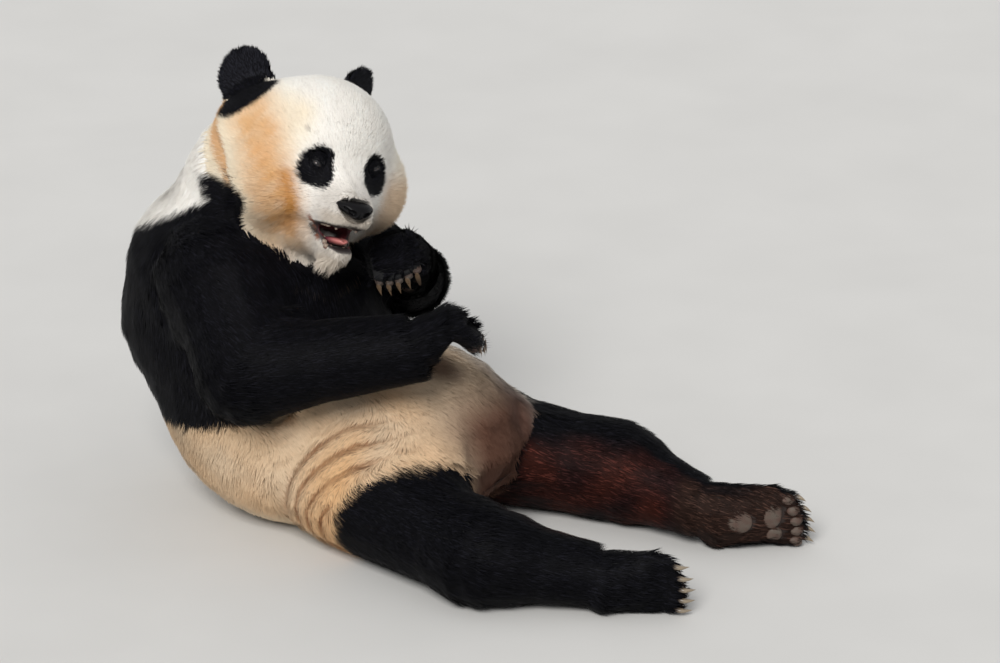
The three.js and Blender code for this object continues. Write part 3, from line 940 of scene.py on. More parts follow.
def leg_colours(points, normals, trunk, astray):
    """A hind leg: the trunk's tan runs down to a black haunch; the inner side is stained."""
    across, along, up = points.T
    share = areas(LEG_AREAS, {
        "past_haunch": round_haunch(points)[0] + astray * 1.6, "along": along, "up": up,
        "inward": -normals[:, 0] * np.sign(across - LEG_MIDDLE)})
    return layered(
        trunk,
        (BLACK, np.maximum(share["haunch"], share["leg"])),
        (RED_BROWN, patchy(points, 0.09, 71, 0.22, 0.26) * share["stained"]),
        (SOLE_BROWN, 0.22 * share["sole"]),
    )


# %% The colour of the fur anywhere
# Two waves make each edge ragged: their length, seed and height.
RAGGED = ((0.030, 11, 2.5 * MM), (0.011, 12, 1.5 * MM))
WANDER = 2.0 * MM
EAR_CUP_AREA = (("forward", 0.3, 0.8),)


def coat_colours(points, normals, node_of, seed):
    """The colour of the fur that grows at each point of the body."""
    random = np.random.default_rng(seed)
    astray = sum(waves(points, scale, key) * far for scale, key, far in RAGGED)
    astray = astray + random.normal(0, 1, len(points)) * WANDER
    local = head.local(points)
    trunk = trunk_colours(points, astray)
    face = behind_ruff(head_colours(local, astray), local, astray)
    jaw_edge = {"up": local[:, 2], "before_ruff": before_ruff(local) + 1.5 * astray}
    face = mixed(face, BLACK, area(JAW_EDGE, jaw_edge))
    cup = area(EAR_CUP_AREA, {"forward": normals @ head.ways[1]})
    return layered(
        trunk,
        (face, in_nodes(node_of, "head", "jaw")),
        (leg_colours(points, normals, trunk, astray), in_nodes(node_of, "thigh", "shank", "foot")),
        (BLACK, in_nodes(node_of, "ear", "upper_arm", "forearm", "hand")),
        (EAR_GREY, 0.14 * cup * in_nodes(node_of, "ear")),
    )


# %% [markdown]
# ## How the coat lies
# Fur streams away from the nose, over the head and down the trunk to the tail, and along each
# limb to its toes. So each node gets one direction, from its own middle to that of the next
# one along, the head gets a stream away from the nose, and the directions are averaged over
# the skin until they turn smoothly.

# %% Directions
NEXT_ALONG = {
    "neck": ("head", "chest"), "chest": ("neck", "rump"), "belly": ("chest", "foot"),
    "rump": ("chest", "tail"), "tail": ("rump", "tail"),
    "upper_arm": ("upper_arm", "forearm"), "forearm": ("forearm", "hand"),
    "hand": ("forearm", "hand"), "thigh": ("thigh", "shank"), "shank": ("shank", "foot"),
    "foot": ("shank", "foot"),
}
TAIL_HANGS = np.array([0, 0, 0.1])
NOSE_WHORL = (0, 0.165, -0.03)
BACK_OVER_HEAD = (0, -0.25, 0)
EAR_WHORL = (0.085, -0.11, 0.05)
HANGING = ("forearm", "upper_arm", "belly", "rump")
HANGS = np.array([0, 0, -0.22])
ROUND_HAUNCH = 3.0
STREAM_BLEND = 14


def stream_of(name):
    """The way the fur lies on a node, from one node's middle to another's."""
    side = name.split("_")[-1]
    kind = name.removesuffix(f"_{side}") if side in SIDES else name
    if kind not in NEXT_ALONG:
        return np.zeros(3)
    start, end = (
        node_middle(other if other in FLESH else f"{other}_{side if side in SIDES else 'right'}")
        for other in NEXT_ALONG[kind])
    if kind == "belly":
        end = end * [0, 1, 1] + start * [1, 0, 0]
    if kind == "tail":
        end = end - TAIL_HANGS
    return unit(end - start)


def away_from(points, local):
    return unit(points - head.world(local))


def skin_share(*starts):
    return in_nodes(skin_node, *starts)[:, None]


stream = np.array([stream_of(name) for name in FLESH])[skin_node]
over_head = away_from(skin_points, NOSE_WHORL) + head.way(BACK_OVER_HEAD)
stream = stream + skin_share("head", "jaw") * over_head
for side, sign in SIDES.items():
    whorl = np.array(EAR_WHORL) * [sign, 1, 1]
    stream = stream + skin_share(f"ear_{side}") * away_from(skin_points, whorl)
stream = stream + HANGS * skin_share(*HANGING)
round_it = np.stack([np.zeros(len(skin_points)), skin_points[:, 2] - HAUNCH["up"],
                     HAUNCH["forward"] - skin_points[:, 1]], 1)
stream = stream + unit(round_it) * ROUND_HAUNCH * fold_area(skin_points)[:, None]
stream = spread(stream, STREAM_BLEND)
stream = square_to(stream, skin_normals)
print("points with a way for the fur", int((np.linalg.norm(stream, axis=1) > 0.5).sum()))

# %% [markdown]
# ## The unwrap of the skin
# A tuft's UVs are set at its root's place on a flat map of the skin. The map is made of
# one chart for each node: the skin round that node is rolled off a cylinder along its length,
# and the charts stand side by side.

# %% Charts
CHARTS_ACROSS = 5
CHART_MARGIN = 0.06
ASKEW = (0.3, 0.9, 0.1)
chart_axes = np.array([
    head.way((0, 0, 1)) if name in ("head", "jaw") or not stream_of(name).any()
    else stream_of(name) for name in FLESH])
chart_middles = np.array([node_middle(name) for name in FLESH])
chart_sides = unit(np.cross(chart_axes, ASKEW))
chart_fronts = np.cross(chart_axes, chart_sides)
reaches = np.array([np.linalg.norm(Vector(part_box(n)[1]) - Vector(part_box(n)[0])) for n in FLESH])
print("charts", len(FLESH), "the longest, m", round(reaches.max(), 2))


def unwrapped(points, node_of):
    """How far each point is round its chart's cylinder, and how far along it."""
    place = points - chart_middles[node_of]
    turn = np.arctan2(dot(place, chart_sides[node_of]), dot(place, chart_fronts[node_of]))
    along = dot(place, chart_axes[node_of]) / reaches[node_of]
    return np.stack([turn / (2 * math.pi), along], 1)


def on_map(rolled, node_of):
    column, line = node_of % CHARTS_ACROSS, node_of // CHARTS_ACROSS
    within = np.clip(rolled + 0.5, 0, 1) * (1 - 2 * CHART_MARGIN) + CHART_MARGIN
    return (within + np.stack([column, line], 1)) / CHARTS_ACROSS


# %% The skin as a piece
# The skin's colour under the coat is darkened by this factor: painted shade down among the tufts.
SKIN_PAINTED_SHADE = 0.8
LINING_MARGIN = 0.003
LINING = (("in_mouth", 0.0, 0.002),)
RED_INSIDE = (("in_mouth", 0.0015, 0.006),)

skin_finish = Finish("skin")
pores = skin_finish.noise(420)
skin_material = skin_finish.finished(
    Base_Color=skin_finish.worn(pores, 0.35, 0.25), Roughness=0.75,
    Normal=skin_finish.bump(pores, 0.6 * MM))
skin = new_object("skin", skin_points, quads, skin_material)
coat_top = skin_points + skin_normals * (coat_depth * MM)[:, None]
# The skin takes the coat's colour darkened: painted shade under the tufts.
skin_colours = coat_colours(coat_top, skin_normals, skin_node, 3) * SKIN_PAINTED_SHADE
mouth_lining = on_head * area(LINING, {"in_mouth": in_mouth(skin_local, LINING_MARGIN)})
redness = area(RED_INSIDE, {"in_mouth": in_mouth(skin_local)})
mouth_red = mixed(plain(LIP_BLACK, skin_points), MOUTH_RED, redness)
set_colours(skin.data, mixed(skin_colours, mouth_red, mouth_lining))
corner_nodes = np.repeat(skin_node[quads[:, 0]], 4)
rolled = unwrapped(skin_points[quads.ravel()], corner_nodes).reshape(-1, 4, 2)
wraps = np.ptp(rolled[..., 0], axis=1)[:, None] > 0.5
rolled[..., 0] += wraps & (rolled[..., 0] < 0)
set_uv(skin.data, on_map(rolled.reshape(-1, 2), corner_nodes))
keep(skin, "coat_white", *FLESH)

# %% [markdown]
# ## Paws
# Each paw's frame comes from its five claws: ahead is from the paw's middle to the roots of the
# claws, across runs from the first to the last, and down is the way that the claws curl, which
# is out of the sole or palm. The bare pads are placed in that frame before the coat is made,
# because no tufts grow on them.

# %% A paw's frame and its pads
PAWS = [(part, side) for part in ("hand", "foot") for side in SIDES]
DIGITS = range(1, 6)
CLAW_ROOT_FROM = 0.8
OFF_SKIN = 0.09
# How far back from the claws' roots, how far across, then length, width and height.
TOE_PAD = {"foot": (0.016, 0, 0.0125, 0.0095, 0.0060), "hand": (0.014, 0, 0.0100, 0.0085, 0.0050)}
SOLE_PADS = {
    "foot": [(0.058, -0.012, 0.017, 0.026, 0.0070), (0.050, 0.028, 0.015, 0.016, 0.0060),
             (0.118, 0.004, 0.024, 0.024, 0.0050)],
    "hand": [(0.050, 0.0, 0.017, 0.034, 0.0060), (0.086, 0.022, 0.013, 0.014, 0.0060)],
}
PAD_EDGE = (1.10, 0.95)
PAD_THICK = 0.02
skin_tree = BVHTree.FromPolygons(skin_points.tolist(), quads.tolist())


class Paw:
    def __init__(self, part, side):
        self.part, self.side = part, side
        middle = node_middle(f"{part}_{side}")
        ends = [self.claw_ends(f"{part}_claw_{digit}_{side}", middle) for digit in DIGITS]
        self.roots, self.tips = (np.array(end) for end in zip(*ends))
        self.ahead = unit(self.roots.mean(0) - middle)
        self.across = square_to(self.roots[-1] - self.roots[0], self.ahead)
        self.down = np.cross(self.ahead, self.across)
        self.down *= np.sign(dot(self.down, (self.tips - self.roots).mean(0)))

    @staticmethod
    def claw_ends(name, middle):
        """A claw's root and tip, from its node's points."""
        points = node_mesh(name)[0]
        away = np.linalg.norm(points - middle, axis=1)
        tip = points[away.argmax()]
        from_tip = np.linalg.norm(points - tip, axis=1)
        return points[from_tip > CLAW_ROOT_FROM * np.ptp(away)].mean(0), tip

    def on_skin(self, place):
        """Where the sole's or palm's skin is, straight under a place."""
        start = place + self.down * OFF_SKIN
        hit = skin_tree.ray_cast(Vector(start), Vector(-self.down), 2 * OFF_SKIN)[0]
        return place if hit is None else np.array(hit)

    def pads(self):
        """Each pad's middle, length, width and height."""
        near_roots = [(root, TOE_PAD[self.part]) for root in self.roots]
        near_roots += [(self.roots.mean(0), numbers) for numbers in SOLE_PADS[self.part]]
        for root, (back, across, *size) in near_roots:
            yield self.on_skin(root - self.ahead * back + self.across * across), *size


# %% The paws
paws = [Paw(part, side) for part, side in PAWS]


def on_pads(points):
    """1 on a bare pad, 0 in the fur round it."""
    share = np.zeros(len(points))
    for paw in paws:
        for place, long, wide, _ in paw.pads():
            offset = points - place
            oval = np.hypot(dot(offset, paw.ahead) / long, dot(offset, paw.across) / wide)
            level = np.abs(dot(offset, paw.down)) < PAD_THICK
            share = np.maximum(share, ramp(*PAD_EDGE, oval) * level)
    return share


print("paws", [(paw.part, paw.side, paw.down.round(2).tolist()) for paw in paws])

# %% [markdown]
# ## The coat
# Particle hair would be lost when the model is exported, so the coat is plain mesh: thin
# tapered blades, each a lock of a few hairs. A blade leaves the skin steeply, bends over at
# once and then lies along the body, with its tip at the coat's full depth. Fur looks soft
# because hairs share the light of the body under them. So a blade's normals lean to the
# skin's own normal, and the light on the coat turns as smoothly as the body does.

# %% One batch of blades
LEVELS = (0.0, 0.42, 1.0)
WIDTHS = (0.8, 1.0, 0)
BLADE_FACES = np.array([[0, 3, 1], [0, 2, 3], [2, 4, 3]])
CORNERS = 5
LEAST_REACH = 0.3
PULL_POWER = 1.5
LOCK_WARP = {"scale": 5, "far": 0.8}
CELL_KEYS = np.array([73856093, 19349663, 83492791])


def blades(roots, up, lie, length, rise, width, roll, bend, pull, leaned):
    """Corner points and normals of tapered blades, from arrays with one entry for each."""
    side = np.cross(up, lie)
    reach = np.sqrt(np.maximum(length ** 2 - rise ** 2, (LEAST_REACH * length) ** 2))
    across = side * np.cos(roll)[:, None] + up * np.sin(roll)[:, None]
    corners, normals = [], []
    for share, wide in zip(LEVELS, WIDTHS):
        centre = (
            roots
            + lie * (reach * share)[:, None]
            + up * (rise * (1 - (1 - share) ** 2))[:, None]
            + side * (bend * reach * share ** 2)[:, None]
            + pull * share ** PULL_POWER
        )
        slope = lie * reach[:, None] + up * (rise * 2 * (1 - share))[:, None]
        normal = unit(unit(np.cross(slope, across)) * (1 - leaned) + up * leaned)
        half = across * (width * wide / 2)[:, None]
        corners.extend([centre - half, centre + half] if wide else [centre])
        normals.extend([normal, normal] if wide else [normal])
    return np.stack(corners, 1), np.stack(normals, 1)


def gathered(roots, tips, cell, share, seed):
    """How far each tip is drawn towards the middle of the tips of its lock."""
    warp = np.stack([waves(roots, cell * LOCK_WARP["scale"], seed + k) for k in range(3)], 1)
    cells = np.floor((roots + warp * cell * LOCK_WARP["far"]) / cell).astype(np.int64)
    _, lock = np.unique(cells @ CELL_KEYS, return_inverse=True)
    lock = lock.ravel()
    count = np.bincount(lock)[:, None]
    middle_of_lock = sums_at(len(count), lock, tips) / count
    return (middle_of_lock[lock] - tips) * share


class Ground:
    """A surface that tufts grow on: its points, triangles, normals, lie, depth and nodes."""

    def __init__(self, points, triangles, stream, deep, node_of, weight):
        self.points, self.triangles, self.stream = points, triangles, stream
        self.deep, self.node_of, self.weight = deep, node_of, weight
        self.normals = normals_of(points, triangles)
        a, b, c = corners_of(points, triangles)
        self.area = 0.5 * np.linalg.norm(np.cross(b - a, c - a), axis=1)

    def sample(self, random, count, weight):
        """Roots at random, as many to each area as its weight."""
        chance = np.cumsum(self.area * weight[self.triangles].mean(1))
        pick = np.searchsorted(chance, random.uniform(0, chance[-1], count))
        a, b = random.uniform(size=(2, count))
        over = a + b > 1
        a, b = np.where(over, 1 - a, a), np.where(over, 1 - b, b)
        shares = np.stack([1 - a - b, a, b], 1)
        triangle = self.triangles[pick]

        def take(values):
            return np.einsum("nk,nk...->n...", shares, values[triangle])

        return (take(self.points), unit(take(self.normals)), take(self.stream), take(self.deep),
                self.node_of[triangle[:, 0]])


# %% Where tufts grow
NOSE_BARE = {"middle": (0, 0.194, -0.041), "stretch": (1, 1, 1.35), "edge": (0.032, 0.026)}
EYE_BARE = (0.0125, 0.0095)
DEPTH_BLEND = 6
nose_offset = (skin_local - NOSE_BARE["middle"]) * NOSE_BARE["stretch"]
bare = np.max([
    mouth_lining, ramp(*NOSE_BARE["edge"], np.linalg.norm(nose_offset, axis=1)),
    ramp(*EYE_BARE, eye_distance(skin_local)), on_pads(skin_points)], axis=0)
tuft_depth = spread(coat_depth, DEPTH_BLEND) * MM
ground = Ground(skin_points, skin_triangles, stream, tuft_depth, skin_node, 1 - bare)
print("bare points of the skin", int((bare > 0.5).sum()), "of", len(bare))

# %% How the coat looks
coat_finish = Finish("coat")
strands = coat_finish.noise(900, detail=1.0)
coat_material = coat_finish.finished(
    Base_Color=coat_finish.worn(strands, 0.80, 0.5), Roughness=0.60, Specular_IOR_Level=0.07,
    Sheen_Weight=0.03, Sheen_Roughness=0.45)

# %% One piece of coat
# A blade's colour is scaled from root to tip: painted shade at the root, a little painted light at
# the tip.
ROOT_SHADE_TIP_LIGHT = np.array([0.86, 0.98, 1.03])
PATCH = np.array([[-1, 0], [1, 0], [-1, 1], [1, 1], [0, 3]]) * [0.0015, 0.001]
FLOOR_CLEAR = 0.5 * MM
ROOT_UNDER = 1.0 * MM
LOCK_SEED = 40
COLOUR_SEED = 5
SWIRL = {"scale": 0.06, "share": 0.14, "seeds": (21, 22, 23)}
TONE = {"spread": 0.035, "share": 0.03, "scale": 0.06, "seed": 31}
LENGTHS = (0.75, 1.2)
RISES = (-0.25, 0.25)
BREADTHS = (0.7, 1.3)
ROLL, BEND = 0.32, 0.10
SEEN = {"along": 0.55, "up": 0.8}
DARK = 0.04
SHEEN_STREAK_GAIN = 3.2


def add_coat(name, members, count, *, width, longer=2.3, spread_of=0.30, cell=12 * MM,
             cling=0.30, lifted=0.9, weight=1.0, on=ground, deeper=None, leaned=0.78,
             ruffled=1.0, sheen_streaks=0.16):
    """A coat piece: so many tufts over the skin of some nodes. A tuft is as many times longer
    than the coat is deep, and clings to its lock. Ruffled tufts roll and bend, leaned ones take
    the skin's light, and a share of the black ones are painted paler, as painted sheen."""
    random = np.random.default_rng(sum(map(ord, name)))
    weight = on.weight * in_nodes(on.node_of, *members) * weight
    roots, up, lie, deep, node_of = on.sample(random, count, weight)
    if deeper is not None:
        deep = deep * deeper(roots)
    swirl = np.stack([waves(roots, SWIRL["scale"], seed) for seed in SWIRL["seeds"]], 1)
    lie = lie + swirl * SWIRL["share"] + random.normal(0, spread_of * 0.5, (count, 3))
    lie = square_to(lie, up)
    length = deep * longer * random.uniform(*LENGTHS, count)
    rise = deep * lifted * (0.85 + ruffled * random.uniform(*RISES, count))
    reach = np.sqrt(np.maximum(length ** 2 - rise ** 2, 0))
    tips = roots + lie * reach[:, None] + up * rise[:, None]
    corners, normals = blades(
        roots - up * ROOT_UNDER, up, lie, length, rise,
        width * random.uniform(*BREADTHS, count), random.normal(0, ROLL * ruffled, count),
        random.normal(0, BEND * ruffled, count), gathered(roots, tips, cell, cling, LOCK_SEED),
        leaned)
    corners[..., 2] = np.maximum(corners[..., 2], FLOOR_CLEAR)
    seen = roots + lie * (length * SEEN["along"])[:, None] + up * (deep * SEEN["up"])[:, None]
    colour = coat_colours(seen, up, node_of, COLOUR_SEED)
    tone = random.normal(1, TONE["spread"], count)
    tone = tone * (1 + TONE["share"] * waves(roots, TONE["scale"], TONE["seed"]))
    # A share of the black tufts is painted paler: painted sheen, flecks of light on the black fur.
    dark = colour.max(1) < DARK
    streak = dark & (random.uniform(size=count) < sheen_streaks)
    colour = np.where(streak[:, None], colour * SHEEN_STREAK_GAIN, colour * tone[:, None])
    # Darker at the root and a little lighter at the tip: painted shade and painted light along each
    # blade.
    colours = colour[:, None, :] * np.repeat(ROOT_SHADE_TIP_LIGHT, [2, 2, 1])[None, :, None]
    faces = (BLADE_FACES[None] + CORNERS * np.arange(count)[:, None, None]).reshape(-1, 3)
    piece = new_object(name, corners.reshape(-1, 3), faces, coat_material)
    set_colours(piece.data, colours.reshape(-1, 3))
    uv = on_map(unwrapped(roots, node_of), node_of)[:, None, :] + PATCH[None]
    set_uv(piece.data, uv.reshape(-1, 2)[faces.ravel()])
    lean = piece.data.attributes.new("custom_normal", "FLOAT_VECTOR", "POINT")
    lean.data.foreach_set("vector", normals.astype(np.float32).ravel())
    keep(piece, "coat_black" if dark.mean() > 0.5 else "coat_white")


# %% Longer and shorter tufts
RUFF_TUFTS = {"ahead": 0.012, "width": 0.014, "longer": 0.45}
TUFT_AREAS = {
    "ruff": (("aside", 0.02, 0.05),),
    "chin": (("up", -0.125, -0.150),),
    "far cheek": (("out", 0.100, 0.125), ("up", 0.05, 0.00)),
}
FACE_FRONT = (0.00, 0.05)


def at_ruff(roots):
    """Tufts at the edge of the cheek's ruff, under the chin and on the far cheek are longer."""
    local = head.local(roots)
    share = areas(TUFT_AREAS, head_measures(local))
    off_edge = (before_ruff(local) - RUFF_TUFTS["ahead"]) / RUFF_TUFTS["width"]
    edge = np.exp(-off_edge ** 2) * share["ruff"]
    chin = 0.6 * share["chin"] * (1 - edge)
    return 1 + RUFF_TUFTS["longer"] * edge + chin + 0.5 * share["far cheek"]


def off_folds(roots):
    """Shorter tufts over the flank's folds, so that the creases show."""
    return 1 - 0.5 * fold_area(roots)


# %% Coat pieces
SLEEK = {"longer": 3.3, "cling": 0.16, "spread_of": 0.20, "leaned": 0.94, "ruffled": 0.45}
SLEEKER = {**SLEEK, "leaned": 0.97, "ruffled": 0.3}
# The ears' black fur gets more of the painted sheen flecks.
EARS_COAT = {"longer": 1.9, "lifted": 1.25, "sheen_streaks": 0.40}
ARM_TUFTS = {"right": 50000, "left": 40000}
LEG_TUFTS = 46000
face_front = ramp(*FACE_FRONT, skin_local[:, 1])
add_coat("coat_face", ["head", "jaw"], 62000, width=1.3 * MM, cell=6 * MM, weight=face_front,
         deeper=at_ruff)
add_coat("coat_crown", ["head", "jaw"], 45000, width=1.8 * MM, cell=8 * MM,
         weight=1 - face_front, deeper=at_ruff)
add_coat("coat_ears", ["ear"], 24000, width=1.4 * MM, cell=5 * MM, **EARS_COAT)
add_coat("coat_neck_shoulders", ["neck", "chest"], 60000, width=2.0 * MM, **SLEEKER)
add_coat("coat_belly", ["belly"], 38000, width=1.8 * MM, deeper=off_folds, **SLEEK)
add_coat("coat_rump", ["rump", "tail"], 48000, width=1.9 * MM, deeper=off_folds, **SLEEK)
for side in SIDES:
    arm, leg = ([f"{part}_{side}" for part in limb] for limb in (
        ("upper_arm", "forearm", "hand"), ("thigh", "shank", "foot")))
    add_coat(f"coat_arm_{side}", arm, ARM_TUFTS[side], width=1.9 * MM, **SLEEK)
    add_coat(f"coat_leg_{side}", leg, LEG_TUFTS, width=1.9 * MM, deeper=off_folds, **SLEEK)

# %% [markdown]
# ## Small fittings
# Eyes, nose, tongue, teeth, claws and pads are all made from one evenly divided ball whose
# points are moved: a stretched and dented ball has no seam, no pole and no loose edge. Their
# colours are written to each vertex, as the coat's are.

# %% A ball to start from


def unit_ball(steps):
    """Directions all round and the four-cornered faces between them, from a cube's six sides."""
    line = np.tan(np.linspace(-1, 1, steps + 1) * math.pi / 4)
    u, v = (grid.ravel() for grid in np.meshgrid(line, line, indexing="ij"))
    corner = (np.arange(steps)[:, None] * (steps + 1) + np.arange(steps)[None]).ravel()
    square = np.stack([corner, corner + steps + 1, corner + steps + 2, corner + 1], 1)
    points, faces = [], []
    for axis in range(3):
        for sign in (-1, 1):
            side = np.empty((len(u), 3))
            side[:, axis] = sign
            side[:, (axis + 1) % 3] = u * sign
            side[:, (axis + 2) % 3] = v
            faces.append(square + len(u) * len(points))
            points.append(side)
    return welded(unit(np.concatenate(points)), np.concatenate(faces))


def fitting(name, shapes, material, slot, *nodes):
    """A piece from several (points, faces, colours)."""
    points, faces = joined([(p, f) for p, f, _ in shapes])
    piece = new_object(name, points, faces, material)
    set_colours(piece.data, np.concatenate([np.broadcast_to(c, p.shape) for p, _, c in shapes]))
    keep(piece, slot, *nodes)


def fitting_finish(name, roughness, grain, depth, coat=0.0):
    finish = Finish(name)
    height = finish.noise(grain, detail=4.0)
    return finish.finished(
        Base_Color=finish.worn(height, 0.78, 1.0), Roughness=roughness,
        Coat_Weight=coat, Coat_Roughness=0.08, Normal=finish.bump(height, depth))


def head_extent(name):
    """A node's middle and half its size along the head's own directions."""
    local = head.local(node_mesh(name)[0])
    low, high = local.min(0), local.max(0)
    return (low + high) / 2, (high - low) / 2


# %% [markdown]
# ### Eyes
# The animal squints: each lid lies over the ball of the eye as a cap of wrinkled black skin,
# and only a slit is open. The slit's inner end is lower than its outer end. A lid is a disc
# of rings round the slit: it rises over the ball, levels out and dips under the coat.

# %% The ball and the lid of an eye
BALL = {"radius": 0.0110, "under_coat": 0.0172, "ahead": 0.01, "near": 0.024, "steps": 20}
OUTWARD, GAZE = (0, 0.25, 0), (0, 0.15, -0.10)
# Soft edges: of iris and pupil as angles from the gaze, of the lid as distances from its
# middle or as shares of the way out to its edge.
IRIS = (math.radians(34) + 0.05, math.radians(34) - 0.02)
PUPIL = (math.radians(16) + 0.03, math.radians(16) - 0.03)
LID = {"over": 0.0013, "reach": 0.0215, "level": 0.0100, "edge": 0.0050, "slit_long": 0.0080,
       "slit_high": 0.0008, "lowest_cap": 0.004, "rim_sunk": 0.0011}
LID_RINGS, LID_AROUND = 40, 96
LID_DIPS, LID_LEVELS = (0.013, 0.0215), (0.003, 0.010)
RING_POWER, ARCH_POWER = 1.4, 0.5
WRINKLE = {"pitch": 0.0034, "high": 0.0004, "from": (0.001, 0.003), "to": (0.014, 0.009)}
RIM_SUNK, RIM_HIGHLIGHT_SPAN, LOWER_LID_HIGHLIGHT, FUR_GROWS = (0.05, 0.0), (0.09, 0.02), (0.0, -0.5), (0.10, 0.25)
SLIT_WAY = np.array([0.88, 0.0, 0.47])
IRIS_BROWN = srgb(70, 42, 26)
EYE_WHITE = srgb(104, 88, 80)
PUPIL_BLACK = srgb(8, 8, 10)
LID_BLACK = srgb(15, 14, 17)
# The rim colour is a painted highlight, the glint on the wet rim of the slit.
LID_RIM_HIGHLIGHT = srgb(56, 52, 54)


def eye_place(sign):
    """The middle of an eyeball and the way out of the face there."""
    out, up = EYES["out"] + BALL_SHIFT["out"], EYES["up"] + BALL_SHIFT["up"]
    target = head.world((sign * out, EYES["ahead"] + BALL["ahead"], up))
    near_eye = np.linalg.norm(outer - target, axis=1) < BALL["near"]
    normal = unit(unit(outer_normals[near_eye].mean(0)) + head.way(OUTWARD))
    surface = np.array(outer_tree.find_nearest(Vector(target))[0])
    return surface - normal * BALL["under_coat"], normal


def eyeball(centre, normal):
    turn = np.arccos(np.clip(ball_points @ unit(normal + head.way(GAZE)), -1, 1))
    colour = layered(plain(EYE_WHITE, turn), (IRIS_BROWN, ramp(*IRIS, turn)),
                     (PUPIL_BLACK, ramp(*PUPIL, turn)))
    return centre + ball_points * BALL["radius"], ball_faces, colour


def disc_faces(rings, around):
    """The faces between rings of points, each ring with as many points."""
    start = np.arange(rings - 1)[:, None] * around
    step = np.arange(around)[None]
    after = (step + 1) % around
    inner, outside = start, start + around
    faces = [inner + step, outside + step, outside + after, inner + after]
    return np.stack(faces, -1).reshape(-1, 4)


def lid(centre, normal, sign):
    """A lid's points, faces and colours, and how far fur grows on it."""
    along = square_to(head.way(SLIT_WAY * [sign, 1, 1]), normal)
    over = np.cross(normal, along)
    over *= np.sign(dot(over, head.way((0, 0, 1))))
    share = np.linspace(0, 1, LID_RINGS)[:, None] ** RING_POWER
    angle = np.linspace(0, 2 * math.pi, LID_AROUND, endpoint=False)[None]
    wide = np.cos(angle) * (LID["slit_long"] * (1 - share) + LID["reach"] * share)
    arch = rounded(np.sin(angle), 1 + ARCH_POWER * (1 - share))
    high = arch * (LID["slit_high"] * (1 - share) + LID["reach"] * share)
    away = np.hypot(wide, high)
    ball = (BALL["radius"] + LID["over"]) ** 2 - away ** 2
    cap = np.sqrt(np.maximum(ball, LID["lowest_cap"] ** 2))
    level = between(LID["level"], LID["edge"], ramp(*LID_DIPS, away))
    height = between(cap, level, ramp(*LID_LEVELS, away))
    from_slit = away - LID["slit_long"] * np.abs(np.cos(angle)) * (1 - share)
    wrinkle = np.sin(2 * math.pi * from_slit / WRINKLE["pitch"])
    wrinkle = wrinkle * ramp(*WRINKLE["from"], from_slit)
    height = height + WRINKLE["high"] * wrinkle * ramp(*WRINKLE["to"], from_slit)
    height = height - LID["rim_sunk"] * ramp(*RIM_SUNK, share)
    grid = centre + wide[..., None] * along + high[..., None] * over + height[..., None] * normal
    grid = grid.reshape(-1, 3)
    faces = disc_faces(LID_RINGS, LID_AROUND)
    faces = facing(faces, dot(normals_of(grid, halves(faces)).mean(0), normal))

    def everywhere(values):
        return np.broadcast_to(values, away.shape).ravel()

    # A painted highlight: the lid is painted paler along the slit, most on the lower lid.
    rim = everywhere(ramp(*RIM_HIGHLIGHT_SPAN, share))
    lower = everywhere(ramp(*LOWER_LID_HIGHLIGHT, np.sin(angle)))
    colour = mixed(plain(LID_BLACK, grid), LID_RIM_HIGHLIGHT, rim * (0.4 + 0.6 * lower))
    return (grid, faces, colour), everywhere(ramp(*FUR_GROWS, share))


# %% Both eyes
eye_finish = fitting_finish("eye", 0.22, 300, 0.02 * MM, coat=0.2)
lid_finish = fitting_finish("lids", 0.60, 900, 0.25 * MM)
outer_normals = normals_of(outer, skin_triangles)
ball_points, ball_faces = unit_ball(BALL["steps"])
lid_meshes, lid_grow = [], []
for side, sign in SIDES.items():
    place, outward = eye_place(sign)
    fitting(f"eyeball_{side}", [eyeball(place, outward)], eye_finish, "eyes", f"eye_{side}")
    shape, grow = lid(place, outward, sign)
    fitting(f"lids_{side}", [shape], lid_finish, "coat_black")
    lid_meshes.append((shape[0], halves(shape[1])))
    lid_grow.append(grow)

# %% Short fur on the lids
LID_FUR_DEPTH = 2.2 * MM
lid_points, lid_triangles = joined(lid_meshes)
lid_ground = Ground(
    lid_points, lid_triangles, away_from(lid_points, NOSE_WHORL),
    np.full(len(lid_points), LID_FUR_DEPTH), np.full(len(lid_points), FLESH.index("head")),
    np.concatenate(lid_grow))
add_coat("coat_lids", ["head"], 9000, width=0.8 * MM, cell=4 * MM, on=lid_ground, longer=2.6)

# %% [markdown]
# ### Nose
# The bare nose is a broad rounded triangle of grained leather. Two nostrils open at the sides
# like commas, and a groove runs from between them down to the lip.

# %% Nose
NOSE_BLACK = srgb(13, 12, 14)
NOSE_BALL = {"above": 0.80, "below": 0.95, "across": 0.84, "ahead": 0.85}
NOSE_SIZE = {"high": 0.76, "wide": 1.08, "deep": 0.020, "leans": 0.20, "curves": 8.0}
NOSE_TRIANGLE = {"tip": 0.34, "widens": 0.70, "from": (-1.10, 0.45)}
# The nostril runs from a round inner end to a thin outer one: places, reach and soft edge.
NOSTRIL = ((0.0105, 0.0, -0.0035), (0.0150, 0.0, -0.0020), (0.0270, 0.0, 0.0040))
NOSTRIL_ROUND, NOSTRIL_THIN, NOSTRIL_RIM = (0.0038, 0.0026), (0.0012, 0.0016), (0.0085, 0.0040)
NOSTRIL_DEEP, RIM_HIGH = 0.009, 0.0016
GROOVE = {"half": 0.0013, "deep": 0.0022, "under": (0.004, -0.004)}
IN_FRONT, HOLE_FRONT = (0, 0.3), (0.0, 0.25)
NOSE_STEPS = 48

